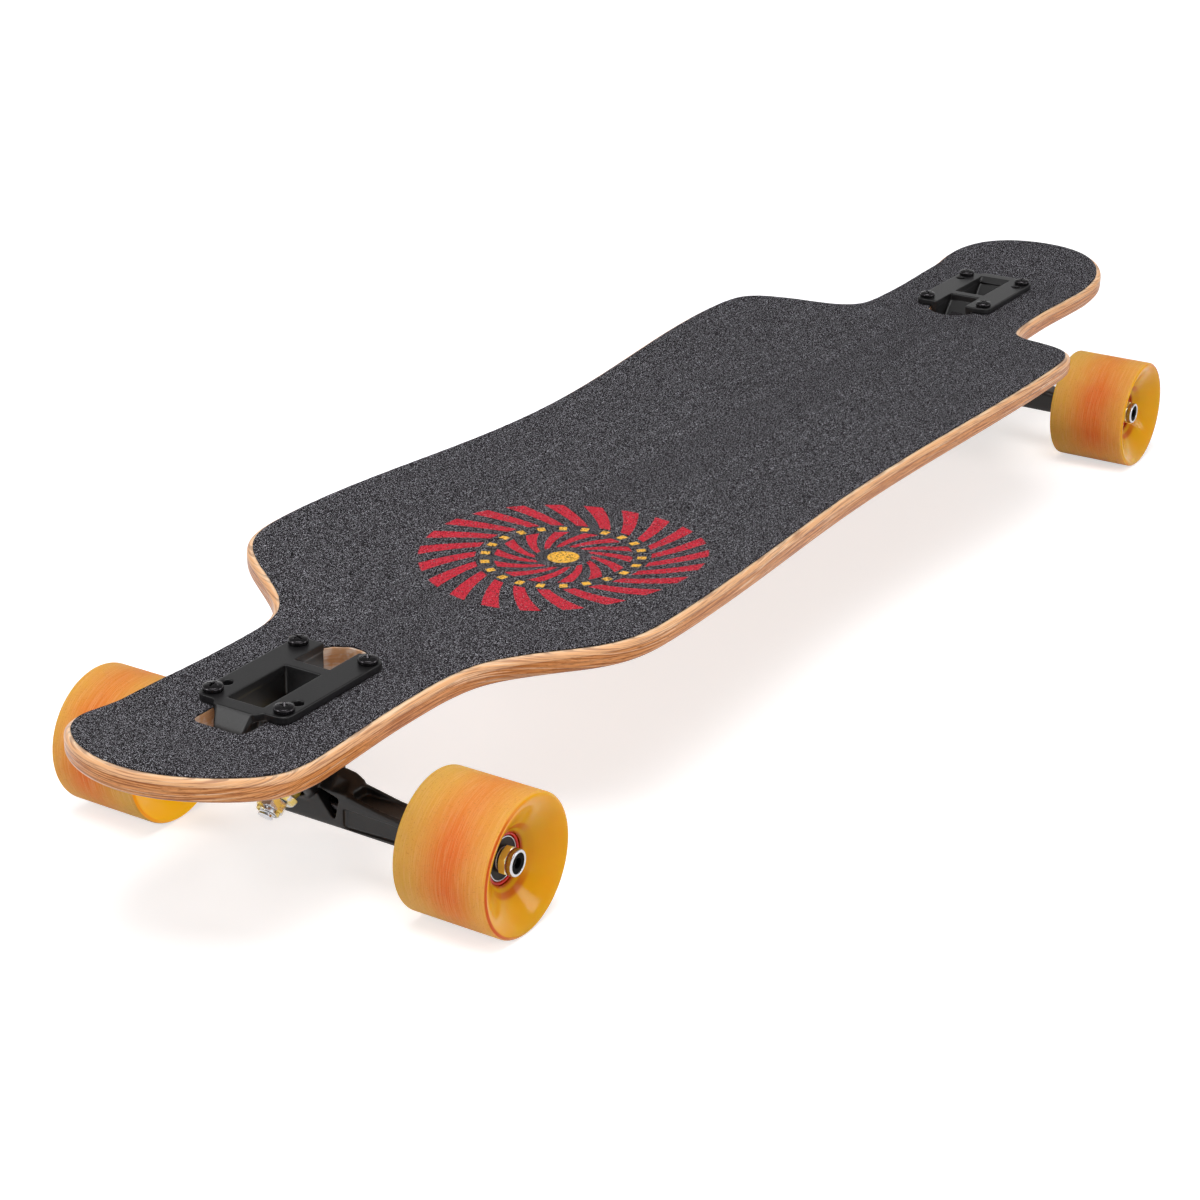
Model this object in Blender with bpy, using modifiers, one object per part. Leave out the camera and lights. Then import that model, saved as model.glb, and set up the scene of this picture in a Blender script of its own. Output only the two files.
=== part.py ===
"""Drop-through longboard: a concave maple deck on two reverse kingpin trucks with 70 mm wheels.

The board's frame has X along the deck, Y across it and Z up. Its origin is on the ground under the
deck's centre. A truck's frame has its origin in the middle of its axle, with X pointing away from the
deck's centre. Both trucks are the same, and the rear one is turned by half a turn.
Sizes are in millimetres, and MM turns them into metres where a mesh or an object is made.
"""

import math

import bmesh
import bpy
import numpy as np
from mathutils import Matrix, Vector

MM = 0.001
FIT = 0.3                       # gap left between pieces that touch
SINK = 1.0                      # how far a piece of a casting runs into its neighbour
PAST = 5.0                      # how far a cutter runs beyond what it cuts
OFFSET = 0.3                    # keeps the faces of joined solids out of one plane

# Wheels and axle
WHEEL_RADIUS = 35.0
WHEEL_WIDTH = 51.0
WHEEL_EDGE = 3.5                # rounding of the tread's edges
LIP_RADIUS = 31.5               # where the dished face starts
HUB_DISH = 12.4                 # how far the face lies inside the lip at the core
CORE_RADIUS = 16.0
CORE_NECK = 13.8
CORE_HALF = 12.3
CORE_WAIST = 8.9                # half width of the core's full round
CORE_SHOULDER = 9.0             # bore between the two bearings
BEARING_RADIUS = 11.0
AXLE_RADIUS = 3.95
BEARING_BORE = AXLE_RADIUS + 0.4
BEARING_WIDTH = 7.0
BEARING_RACE = 1.5              # width of the rings beside the shield
SHIELD_DEPTH = 0.45
SPACER_RADIUS = AXLE_RADIUS + 1.65
SPACER_LENGTH = 9.4
SPEED_RING = 0.8                # thickness of the thin washers beside the bearings
AXLE_NUT_FLATS = 13.0
AXLE_NUT_HEIGHT = 7.0
AXLE_NUT_COLLAR = 1.6
THREAD_FIT = 0.05               # extra room round a thread

# Deck plan, as half widths of the grip along X; what lies by the trucks moves with them
TRUCK_X = 372.9                 # half the wheelbase
WAIST_HALF = 108.3
PLATFORM_HALF = 119.7
PLATFORM_X = TRUCK_X - 147.9
NECK_HALF = 53.3
NECK_X = TRUCK_X - 84.4         # middle of the shoulder between platform and neck
NECK_SPREAD = 10.7
TIP_HALF = 55.6
TIP_SWELL_X = TRUCK_X - 7.9
TIP_SWELL_LENGTH = 70.0
CAP_X = TRUCK_X + 77.1          # the round end starts here
CAP_LENGTH = 49.0
GRIP_INSET = 3.2

# Deck heights
GRIP_RISE = 59.8                # grip top above the axles, at the trucks
GRIP_THICKNESS = 0.8
DECK_THICKNESS = 11.2
DECK_EDGE = 3.0
CONCAVE_WAIST = 8.0
CONCAVE_PLATFORM = 11.5
CONCAVE_WIDTH = 123.0           # half width at which the concave has its full depth
CONCAVE_END = TRUCK_X - 87.9
FLAT_START = TRUCK_X - 42.9
FLAT_END = TRUCK_X + 57.1
TIP_LIFT = 9.6
TIP_LIFT_LENGTH = 72.0

# Truck mounting
PATTERN_X = 5.3                 # middle of the bolt pattern, outboard of the axle
BOLT_SPACING_X = 63.5
BOLT_SPACING_Y = 41.3
SPARE_HOLE_STEP = 9.5           # second pair of holes, inboard of the outer bolts
BOLT_RADIUS = 2.35
BOLT_HOLE = BOLT_RADIUS + 0.4
BOLT_HEAD_RADIUS = 4.5
BOLT_HEAD_HEIGHT = 3.0
BOLT_HEAD_FLAT = 0.6            # share of the head's radius that is flat on top
BOLT_HEAD_SIDE = 0.4            # share of the head's height that is upright at its edge
BOLT_TAIL = 1.0                 # thread that shows below its nut
LOCKNUT_FLATS = 8.0
LOCKNUT_HEIGHT = 5.0

# Baseplate
PLATE_HALF_LENGTH = 38.5
PLATE_HALF_WIDTH = 26.3
PLATE_THICKNESS = 4.0
PLATE_CORNER = 5.0
WINDOW_INBOARD = -3.5
WINDOW_OUTBOARD = PLATE_HALF_LENGTH + 1.0
WINDOW_HALF = 10.5
WINDOW_SLOPE = 11.0             # how far the window's outer wall leans in
BRIDGE = 6.8                    # bar of plate between the window and the notch
CHEEK_HALF = 14.0
CHEEK_DROP = 11.0               # side walls below the plate's underside
TONGUE_HALF = 11.6
TONGUE_REACH = 4.0              # crease beyond the plate's edge
TONGUE_DROP = 15.5
TONGUE_RAKE = 8.7               # how far its foot stands beyond the crease
TONGUE_FOOT_HALF = 7.0
TONGUE_BELLY = 0.6              # fullness of its sides half way down
TONGUE_BEVEL = 1.5
BLOCK_THICKNESS = 12.0          # kingpin block
BLOCK_FRONT = 14.5
BLOCK_FRONT_TOP = 17.6
BLOCK_BACK = 13.4
BOSS_RADIUS = 12.0
BOSS_HEIGHT = 4.9
CUP_BLOCK_RADIUS = 10.5
CUP_BLOCK_FLOOR = -20.7         # flat foot of the pivot block
LEG_BACK = ((-2.5, -2.0), (-3.5, -12.0), (-2.5, -38.0))
LEG_FRONT = ((12.0, 4.0), (8.0, 8.5), (0.5, 9.5), (-9.5, 22.5))

# Cut-out in the deck, from the middle of the bolt pattern
SLOT_INBOARD = PLATE_HALF_LENGTH + 11.5
SLOT_OUTBOARD = PLATE_HALF_LENGTH + 16.0
SLOT_HALF = CHEEK_HALF + 1.5
SLOT_CORNER = 5.5

# Kingpin stack, measured up the kingpin from its threaded end
KINGPIN_ANGLE = math.radians(48.0)
KINGPIN_FOOT = (28.4, 0.8)
KINGPIN_RADIUS = 4.0
KINGPIN_BORE = KINGPIN_RADIUS + 0.5
KINGPIN_END = -0.5
KINGPIN_BEVEL = 1.2
KINGPIN_NUT = 1.9
KINGPIN_NUT_COLLAR = 2.0
KINGPIN_NUT_HEIGHT = 7.4
KINGPIN_NUT_FLATS = 13.0
KINGPIN_HEAD_FLATS = 13.0
KINGPIN_HEAD_HEIGHT = 6.0
BUSHING_RADIUS = 9.9
WASHER_WALL = 1.2
WASHER_BASE = BUSHING_RADIUS - 1.1
WASHER_RIM = BUSHING_RADIUS + 1.0
WASHER_DEPTH = 3.3
WASHER_INNER = WASHER_BASE - WASHER_WALL * 0.6
ROAD_BUSHING_HEIGHT = 10.1
ROAD_BUSHING_TAPER = 4.6
BOARD_BUSHING_HEIGHT = 17.5
BOARD_BUSHING_TAPER = 3.5
BUSHING_EDGE = 1.1
BUSHING_BORE = KINGPIN_RADIUS + 0.6
RING_WEB = 10.0                 # hanger material between the two bushings
RING_RIM = 4.5                  # rim that stands round each bushing
RING_RADIUS = 16.0
RING_CHAMFER = 2.0
RING_SEAT = BUSHING_RADIUS + 1.7
RING_HOLE = 6.5

# Pivot, measured down the steering axis from the ring's centre
PIVOT_ANGLE = math.radians(45.0)
NOSE_RADIUS = 5.3
NOSE_END = 42.5
CUP_START = NOSE_END - 8.7
CUP_END = NOSE_END + 2.7
CUP_RADIUS = NOSE_RADIUS + 2.5
CUP_BORE = NOSE_RADIUS + FIT
CUP_BLOCK_START = CUP_START - FIT
CUP_BLOCK_WALL = 2.0

# Hanger
HANGER_HALF = 89.2
SHOULDER_RADIUS = 8.0
SHOULDER_LENGTH = 5.0
BEAM_REAR = -10.0
BEAM_FRONT = 8.0
BEAM_BOTTOM = -8.0
BEAM_TOP = ((0.0, 12.0), (32.0, 12.0), (50.0, 8.6), (67.2, 6.2))
BEAM_SQUARENESS = 6.0
YOKE_HALF = 30.7
YOKE_LOW = 2.0                  # how far its underside lies above the beam's
YOKE_FRONT = 11.8               # height of its front edge
YOKE_RIDGE = ((22.0, -3.4, 21.6, 14.4), (30.7, -8.4, 16.0, 15.6))
TROUGH_FLOOR = 6.5              # pocket in the top of each arm
TROUGH_END = 66.0
TROUGH_WALL = 2.8
TROUGH_CORNER = 3.0
PANEL_DEPTH = 1.5               # shallow panel in the front of each arm
PANEL_ENDS = ((-4.3, 3.7), (-3.9, 1.8))
PANEL_MARGIN = 12.6             # between the panel and the hanger's end
POCKET_DEPTH = 9.0              # three-cornered pocket in the yoke
POCKET = ((12.5, 10.6), (24.5, 6.6), (22.6, -1.6))
NOSE_NECK = 2.2                 # how much thicker the pivot is at its root

# Facets round a full turn
TREAD_SIDES = 28
HUB_SIDES = 14
STACK_SIDES = 14
PIN_SIDES = 10
AXLE_SIDES = 8
BOLT_SIDES = 8

# Places that follow from the sizes above
AXLE_Z = WHEEL_RADIUS
DECK_RISE = GRIP_RISE - GRIP_THICKNESS - FIT
DECK_UNDERSIDE = DECK_RISE - DECK_THICKNESS
PLATE_UNDERSIDE = GRIP_RISE + FIT
PLATE_TOP = PLATE_UNDERSIDE + PLATE_THICKNESS
PLATE_INBOARD = PATTERN_X - PLATE_HALF_LENGTH
PLATE_OUTBOARD = PATTERN_X + PLATE_HALF_LENGTH
WHEEL_Y = HANGER_HALF + FIT + SPEED_RING + FIT + BEARING_WIDTH + FIT + SPACER_LENGTH / 2
AXLE_NUT_Y = WHEEL_Y + SPACER_LENGTH / 2 + FIT + BEARING_WIDTH + FIT + SPEED_RING + FIT
AXLE_HALF = AXLE_NUT_Y + AXLE_NUT_HEIGHT - 2.0
AXLE_BORE = AXLE_RADIUS + FIT + THREAD_FIT
ROAD_WASHER = KINGPIN_NUT + KINGPIN_NUT_HEIGHT + FIT
ROAD_BUSHING = ROAD_WASHER + WASHER_WALL + FIT
WEB_LOW = ROAD_BUSHING + ROAD_BUSHING_HEIGHT + FIT
RING_CENTRE = WEB_LOW + RING_WEB / 2
WEB_HIGH = WEB_LOW + RING_WEB
BOARD_BUSHING = WEB_HIGH + FIT
BOARD_WASHER_TOP = BOARD_BUSHING + BOARD_BUSHING_HEIGHT + FIT + WASHER_WALL
BOSS_FACE = BOARD_WASHER_TOP + FIT
BLOCK_LOW = BOSS_FACE + BOSS_HEIGHT
BLOCK_HIGH = BLOCK_LOW + BLOCK_THICKNESS
KINGPIN_HEAD = BLOCK_HIGH + FIT


# Scene, materials and placing

def clear_scene():
    """Remove what the file holds, so the board stands alone."""
    for item in list(bpy.data.objects):
        bpy.data.objects.remove(item, do_unlink=True)


def collection(name):
    """A new collection linked to the scene."""
    group = bpy.data.collections.new(name)
    bpy.context.scene.collection.children.link(group)
    return group


def material(name, colour, roughness, metallic=0.0):
    """A Principled material of one colour."""
    finish = bpy.data.materials.new(name)
    finish.use_nodes = True
    shader = finish.node_tree.nodes["Principled BSDF"]
    shader.inputs["Base Color"].default_value = (*colour, 1.0)
    shader.inputs["Roughness"].default_value = roughness
    shader.inputs["Metallic"].default_value = metallic
    return finish


def helper(name, mesh):
    """An object that only shapes other objects."""
    thing = bpy.data.objects.new(name, mesh)
    HELPERS.objects.link(thing)
    thing.hide_render = True
    thing.display_type = "WIRE"
    return thing


def evaluated_mesh(thing):
    """The mesh of an object after its modifiers, in the object's own coordinates."""
    bpy.context.view_layer.update()
    depsgraph = bpy.context.evaluated_depsgraph_get()
    return bpy.data.meshes.new_from_object(thing.evaluated_get(depsgraph))


def settled(thing):
    """Replace a helper's mesh by its evaluated one, and clear the modifiers."""
    mesh = evaluated_mesh(thing)
    thing.modifiers.clear()
    thing.data = mesh
    return thing


def boolean(base, operation, others):
    """Join or cut a helper with other helpers, which are used up."""
    for other in others:
        step = base.modifiers.new(operation.title(), "BOOLEAN")
        step.operation = operation
        step.solver = "EXACT"
        step.object = other
    settled(base)
    for other in others:
        bpy.data.objects.remove(other, do_unlink=True)
    return base


def unite(base, *others):
    """Join helpers into one body."""
    return boolean(base, "UNION", others)


def subtract(base, *others):
    """Cut helpers out of another."""
    return boolean(base, "DIFFERENCE", others)


def finished(thing, smooth_angle=35.0):
    """Take the mesh off a helper, shaded smooth except across sharp corners."""
    mesh = evaluated_mesh(thing)
    mesh.shade_smooth()
    mesh.set_sharp_from_angle(angle=math.radians(smooth_angle))
    bpy.data.objects.remove(thing, do_unlink=True)
    return mesh


def place(name, mesh, finish, parent=None, location=(0, 0, 0), rotation=(0, 0, 0)):
    """Put a sub-part into the board, relative to its parent. Copies share their mesh."""
    thing = bpy.data.objects.new(name, mesh)
    BOARD.objects.link(thing)
    if not mesh.materials:
        mesh.materials.append(finish)
    thing.parent = parent
    thing.location = Vector(location) * MM
    thing.rotation_euler = rotation
    return thing


def marker(name, parent, location=(0, 0, 0), turn=0.0):
    """An empty that carries other objects."""
    empty = bpy.data.objects.new(name, None)
    BOARD.objects.link(empty)
    empty.empty_display_size = 20 * MM
    empty.parent = parent
    empty.location = Vector(location) * MM
    empty.rotation_euler = (0, 0, turn)
    return empty


# Solids

def turned(name, profile, sides, frame=Matrix()):
    """Spin (radius, height) points about Z; they run down the outer side, and loop if none is at 0."""
    count = len(profile)
    edges = [(i, i + 1) for i in range(count - 1)]
    if min(radius for radius, height in profile) > 0:
        edges.append((count - 1, 0))
    mesh = bpy.data.meshes.new(name)
    mesh.from_pydata([(radius * MM, 0, height * MM) for radius, height in profile], edges, [])
    thing = helper(name, mesh)
    screw = thing.modifiers.new("Turn", "SCREW")
    screw.steps = sides
    screw.render_steps = sides
    screw.use_merge_vertices = True
    screw.merge_threshold = 0.00001
    settled(thing)
    thing.data.transform(frame)
    return thing


def slab(name, outline, low, high, plane="XY"):
    """A flat outline made solid between two heights, in the XY, XZ or YZ plane."""
    curve = bpy.data.curves.new(name, "CURVE")
    curve.dimensions = "2D"
    curve.fill_mode = "BOTH"
    curve.extrude = (high - low) / 2 * MM
    spline = curve.splines.new("POLY")
    spline.points.add(len(outline) - 1)
    for point, (across, up) in zip(spline.points, outline):
        point.co = (across * MM, up * MM, 0, 1)
    spline.use_cyclic_u = True
    drawing = helper(name, curve)
    mesh = evaluated_mesh(drawing)
    bpy.data.objects.remove(drawing, do_unlink=True)
    middle = (high + low) / 2 * MM
    if plane == "XZ":
        mesh.transform(Matrix.Translation((0, middle, 0)) @ Matrix.Rotation(math.pi / 2, 4, "X"))
    elif plane == "YZ":
        axes = Matrix(((0, 0, 1, 0), (1, 0, 0, 0), (0, 1, 0, 0), (0, 0, 0, 1)))
        mesh.transform(Matrix.Translation((middle, 0, 0)) @ axes)
    else:
        mesh.transform(Matrix.Translation((0, 0, middle)))
    weld(mesh)
    return helper(name, mesh)


def weld(mesh):
    """Merge doubled corners and point every face outwards."""
    work = bmesh.new()
    work.from_mesh(mesh)
    bmesh.ops.remove_doubles(work, verts=work.verts, dist=0.000002)
    bmesh.ops.recalc_face_normals(work, faces=work.faces)
    work.to_mesh(mesh)
    work.free()


def rod(name, radius, low, high, sides, frame=Matrix()):
    """A cylinder along Z between two heights, or a hexagon with six sides."""
    work = bmesh.new()
    bmesh.ops.create_cone(work, cap_ends=True, segments=sides, radius1=radius * MM, radius2=radius * MM,
                          depth=(high - low) * MM,
                          matrix=frame @ Matrix.Translation((0, 0, (low + high) / 2 * MM)))
    mesh = bpy.data.meshes.new(name)
    work.to_mesh(mesh)
    work.free()
    return helper(name, mesh)


def loft(name, sections, close_start=True):
    """Skin rings of like corners one after the other, with flat ends."""
    rings = np.array(sections, float) * MM
    count, corners = rings.shape[:2]
    faces = []
    for ring in range(count - 1):
        for corner in range(corners):
            after = (corner + 1) % corners
            faces.append((ring * corners + corner, ring * corners + after,
                          (ring + 1) * corners + after, (ring + 1) * corners + corner))
    faces.append(tuple((count - 1) * corners + corner for corner in range(corners)))
    if close_start:
        faces.append(tuple(reversed(range(corners))))
    mesh = bpy.data.meshes.new(name)
    mesh.from_pydata(rings.reshape(-1, 3).tolist(), [], faces)
    return helper(name, mesh)


def mirrored(thing):
    """Mirror a half that is open at Y = 0 into a whole, closed body."""
    mirror = thing.modifiers.new("Both sides", "MIRROR")
    mirror.use_axis = (False, True, False)
    mirror.merge_threshold = 0.00001
    settled(thing)
    weld(thing.data)
    return thing


def rounded(corners, radii, steps=3):
    """Replace the corners of an outline by arcs, where a radius is given."""
    outline = []
    count = len(corners)
    for index, radius in enumerate(radii):
        here = Vector(corners[index])
        before = (Vector(corners[index - 1]) - here).normalized()
        after = (Vector(corners[(index + 1) % count]) - here).normalized()
        if radius == 0:
            outline.append(tuple(here))
            continue
        half = before.angle(after) / 2
        reach = radius / math.tan(half)
        centre = here + (before + after).normalized() * (radius / math.sin(half))
        first = here + before * reach - centre
        last = here + after * reach - centre
        for step in range(steps + 1):
            arm = first.slerp(last, step / steps).normalized() * radius
            outline.append(tuple(centre + arm))
    return outline


def both_sides(outline):
    """Complete an outline, given on its +Y side, by its mirror image."""
    return outline + [(along, -across) for along, across in reversed(outline)]


def smooth(value):
    """A soft step from 0 to 1."""
    value = np.clip(value, 0.0, 1.0)
    return value * value * (3 - 2 * value)


# Deck and grip

def grip_half_width(x):
    """Half width of the grip: waist to platform, shoulder, neck, and a round end."""
    along = abs(x)
    share = (1 - math.cos(math.pi * min(along / PLATFORM_X, 1.0))) / 2
    width = WAIST_HALF + (PLATFORM_HALF - WAIST_HALF) * share
    width -= (PLATFORM_HALF - NECK_HALF) / (1 + math.exp((NECK_X - along) / NECK_SPREAD))
    width += (TIP_HALF - NECK_HALF) * smooth((along - TIP_SWELL_X) / TIP_SWELL_LENGTH)
    end = min(max(along - CAP_X, 0.0) / CAP_LENGTH, 1.0)
    return width * math.sqrt(1 - end * end)


def grip_height(x, y):
    """Height of the grip's top: flat at the trucks, raised at the platform's sides and at the tips."""
    along = abs(x)
    depth = CONCAVE_WAIST + (CONCAVE_PLATFORM - CONCAVE_WAIST) * smooth(along / PLATFORM_X)
    depth *= 1 - smooth((along - CONCAVE_END) / (FLAT_START - CONCAVE_END))
    lift = TIP_LIFT * smooth((along - FLAT_END) / TIP_LIFT_LENGTH)
    return AXLE_Z + GRIP_RISE + depth * (y / CONCAVE_WIDTH) ** 2 + lift


def deck_stations():
    """Places along the deck where its width is taken, closer together at shoulders and round ends."""
    platform = np.linspace(0, PLATFORM_X, 5)
    shoulder = NECK_X + NECK_SPREAD * np.array((-3.9, -2.6, -1.6, -0.6, 0.4, 1.3, 2.4))
    truck = np.array((FLAT_START, FLAT_END, CAP_X))
    cap = CAP_X + CAP_LENGTH * np.sin(np.radians((24, 48, 70, 90)))
    half = np.concatenate((platform, shoulder, truck, cap))
    return np.concatenate((-half[:0:-1], half))


def board_sheet(name, drop, border):
    """The grip's surface as a grid, lowered by a drop, with a border of deck round it."""
    stations = deck_stations()
    across = np.linspace(-1, 1, 5)
    half = np.array([grip_half_width(x) for x in stations])
    rows = [[(x, width * share) for share in across] for x, width in zip(stations, half)]
    if border > 0:
        slope = np.gradient(half[1:-1], stations[1:-1])
        run = np.concatenate(((-1.0,), slope / np.hypot(slope, 1) * -1, (1.0,)))
        rise = np.concatenate(((0.0,), 1 / np.hypot(slope, 1), (0.0,)))
        for row, x, width, out, up in zip(rows, stations, half, run, rise):
            edge = (x + border * out, width + border * up)
            row.append(edge)
            row.insert(0, (edge[0], -edge[1]))
    columns = len(rows[0])
    points = [(x * MM, y * MM, (grip_height(x, y) - drop) * MM) for row in rows for x, y in row]
    faces = []
    for i in range(len(rows) - 1):
        for j in range(columns - 1):
            a, b = i * columns + j, (i + 1) * columns + j
            corners = (a, b, b + 1, a + 1)
            inner = border == 0 or 0 < j < columns - 2
            if not inner:
                faces.append(corners)
            elif (i < len(rows) // 2) == (j < columns // 2):
                faces += [(a, b, b + 1), (a, b + 1, a + 1)]
            else:
                faces += [(a, b, a + 1), (b, b + 1, a + 1)]
    mesh = bpy.data.meshes.new(name)
    mesh.from_pydata(points, [], faces)
    work = bmesh.new()
    work.from_mesh(mesh)
    bmesh.ops.remove_doubles(work, verts=work.verts, dist=0.00001)
    bmesh.ops.dissolve_degenerate(work, edges=work.edges, dist=0.00001)
    work.to_mesh(mesh)
    work.free()
    return helper(name, mesh)


def thickened(sheet, thickness):
    """Give an open sheet its thickness below."""
    solid = sheet.modifiers.new("Thickness", "SOLIDIFY")
    solid.thickness = thickness * MM
    solid.offset = -1
    solid.use_even_offset = True
    return sheet


def slot_outline(truck_side):
    """Cut-out that the truck drops through: round inboard, square with soft corners outboard."""
    inboard = PATTERN_X - SLOT_INBOARD + SLOT_HALF
    outboard = PATTERN_X + SLOT_OUTBOARD
    corners = [(inboard - SLOT_HALF, SLOT_HALF), (outboard, SLOT_HALF),
               (outboard, -SLOT_HALF), (inboard - SLOT_HALF, -SLOT_HALF)]
    radii = (SLOT_HALF - 0.01, SLOT_CORNER, SLOT_CORNER, SLOT_HALF - 0.01)
    local = rounded(corners, radii, steps=5)
    return [(truck_side * (TRUCK_X + x), truck_side * y) for x, y in local]


def bolt_places():
    """The four mounting bolts, in the truck's frame."""
    return [(PATTERN_X + along * BOLT_SPACING_X / 2, across * BOLT_SPACING_Y / 2)
            for along, across in ((1, 1), (1, -1), (-1, -1), (-1, 1))]


def truck_openings(sheet):
    """Cut both truck slots and the eight bolt holes through a sheet of the board."""
    reach = (AXLE_Z, AXLE_Z + PLATE_TOP + TIP_LIFT)
    cutters = []
    for side in (1, -1):
        cutters.append(slab("slot", slot_outline(side), *reach))
        for x, y in bolt_places():
            shift = Matrix.Translation((side * (TRUCK_X + x) * MM, side * y * MM, 0))
            cutters.append(rod("hole", BOLT_HOLE, *reach, BOLT_SIDES, shift))
    return subtract(sheet, *cutters)


def deck_mesh():
    """The plywood deck with rounded rails."""
    sheet = thickened(board_sheet("deck", GRIP_THICKNESS + FIT, GRIP_INSET), DECK_THICKNESS)
    rail = sheet.modifiers.new("Rail", "BEVEL")
    rail.width = DECK_EDGE * MM
    rail.segments = 2
    rail.limit_method = "ANGLE"
    rail.angle_limit = math.radians(50)
    return finished(truck_openings(settled(sheet)))


def grip_mesh():
    """The thin grip sheet on the deck."""
    sheet = thickened(board_sheet("grip_tape", 0.0, 0.0), GRIP_THICKNESS)
    return finished(truck_openings(settled(sheet)))


# Frames inside a truck

def kingpin_frame():
    """Z runs up the kingpin from its threaded end."""
    foot = Matrix.Translation((KINGPIN_FOOT[0] * MM, 0, KINGPIN_FOOT[1] * MM))
    return foot @ Matrix.Rotation(-KINGPIN_ANGLE, 4, "Y")


def on_kingpin(height, ahead):
    """Place in the truck's XZ plane, from a height up the kingpin and a distance in front of it."""
    x = KINGPIN_FOOT[0] - height * math.sin(KINGPIN_ANGLE) + ahead * math.cos(KINGPIN_ANGLE)
    z = KINGPIN_FOOT[1] + height * math.cos(KINGPIN_ANGLE) + ahead * math.sin(KINGPIN_ANGLE)
    return x, z


def pivot_frame():
    """Z runs down the steering axis from the ring's centre to the pivot cup."""
    x, z = on_kingpin(RING_CENTRE, 0)
    centre = Matrix.Translation((x * MM, 0, z * MM))
    return centre @ Matrix.Rotation(-math.pi / 2 - PIVOT_ANGLE, 4, "Y")


def on_pivot(distance, aside):
    """Place in the truck's XZ plane, from a distance down the steering axis and one above it."""
    x, z = on_kingpin(RING_CENTRE, 0)
    x += -distance * math.cos(PIVOT_ANGLE) - aside * math.sin(PIVOT_ANGLE)
    z += -distance * math.sin(PIVOT_ANGLE) + aside * math.cos(PIVOT_ANGLE)
    return x, z


# Baseplate

def plate_outline():
    """The plate from above: ears outboard, a notch inboard, and the neck of the tongue."""
    notch = WINDOW_INBOARD - BRIDGE
    side = rounded([(notch, WINDOW_HALF), (PLATE_INBOARD, WINDOW_HALF),
                    (PLATE_INBOARD, PLATE_HALF_WIDTH), (PLATE_OUTBOARD, PLATE_HALF_WIDTH),
                    (PLATE_OUTBOARD, CHEEK_HALF), (PLATE_OUTBOARD + TONGUE_REACH, TONGUE_HALF)],
                   (0, 0, PLATE_CORNER, PLATE_CORNER, 2.5, 0), steps=3)
    return both_sides(side)


def tongue():
    """The apron that leans down into the slot, narrower at its foot."""
    crease = PLATE_OUTBOARD + TONGUE_REACH
    inner = PLATE_OUTBOARD - 2 * SINK
    top = PLATE_TOP - SINK / 2
    knee_half = (TONGUE_HALF + TONGUE_FOOT_HALF) / 2 + TONGUE_BELLY
    sections = []
    for share, half in ((1.0, TONGUE_FOOT_HALF), (0.5, knee_half), (0.0, TONGUE_HALF)):
        out = crease + TONGUE_RAKE * share
        z = top - TONGUE_DROP * share
        side = half - TONGUE_BEVEL
        sections.append([(inner, -half, z), (out - TONGUE_BEVEL, -half, z), (out, -side, z),
                         (out, side, z), (out - TONGUE_BEVEL, half, z), (inner, half, z)])
    return loft("tongue", sections)


def cheek_outline():
    """Side wall between plate and kingpin block, seen from the side."""
    low = PLATE_UNDERSIDE - CHEEK_DROP
    join = PLATE_UNDERSIDE + SINK
    x, z = on_kingpin(BLOCK_HIGH, -BLOCK_BACK - 2 * OFFSET)
    return [(PLATE_INBOARD, join), (PLATE_OUTBOARD - 3.0, join), (PLATE_OUTBOARD - 5.5, low),
            (WINDOW_INBOARD + 2.0, low), on_kingpin(BLOCK_LOW, -BLOCK_BACK + OFFSET), (x, z - 7.0),
            (PLATE_INBOARD, z)]


def spine_outline():
    """Kingpin block and the leg that reaches down to the pivot cup, seen from the side."""
    join = PLATE_UNDERSIDE + SINK
    x, z = on_kingpin(BLOCK_HIGH, -BLOCK_BACK)
    back = [(x + along, z + down) for along, down in LEG_BACK]
    front = [on_pivot(CUP_BLOCK_START + along, above) for along, above in LEG_FRONT]
    return [on_kingpin(BLOCK_LOW, BLOCK_FRONT), (WINDOW_INBOARD, join), (WINDOW_INBOARD - BRIDGE, join),
            on_kingpin(BLOCK_HIGH, BLOCK_FRONT_TOP), (x, z), *back, *front,
            on_kingpin(BLOCK_LOW, -BLOCK_BACK + OFFSET)]


def window_outline():
    """The opening through the plate and the hollow below it, with a leaning outer wall."""
    above = PLATE_TOP + PAST
    low = PLATE_UNDERSIDE - CHEEK_DROP
    foot = WINDOW_OUTBOARD - WINDOW_SLOPE
    return [(WINDOW_INBOARD, above), (WINDOW_OUTBOARD, above), (WINDOW_OUTBOARD, PLATE_TOP),
            (foot, low + OFFSET), (foot, low - PAST), (WINDOW_INBOARD, low - PAST)]


def end_wall_outline():
    """The wall that closes the hollow outboard, under the tongue."""
    join = PLATE_UNDERSIDE + SINK
    low = PLATE_UNDERSIDE - CHEEK_DROP
    return [(WINDOW_OUTBOARD - WINDOW_SLOPE, low), (PLATE_OUTBOARD - 2 * SINK, low),
            (PLATE_OUTBOARD - SINK / 2, join), (WINDOW_OUTBOARD, join)]


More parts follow.
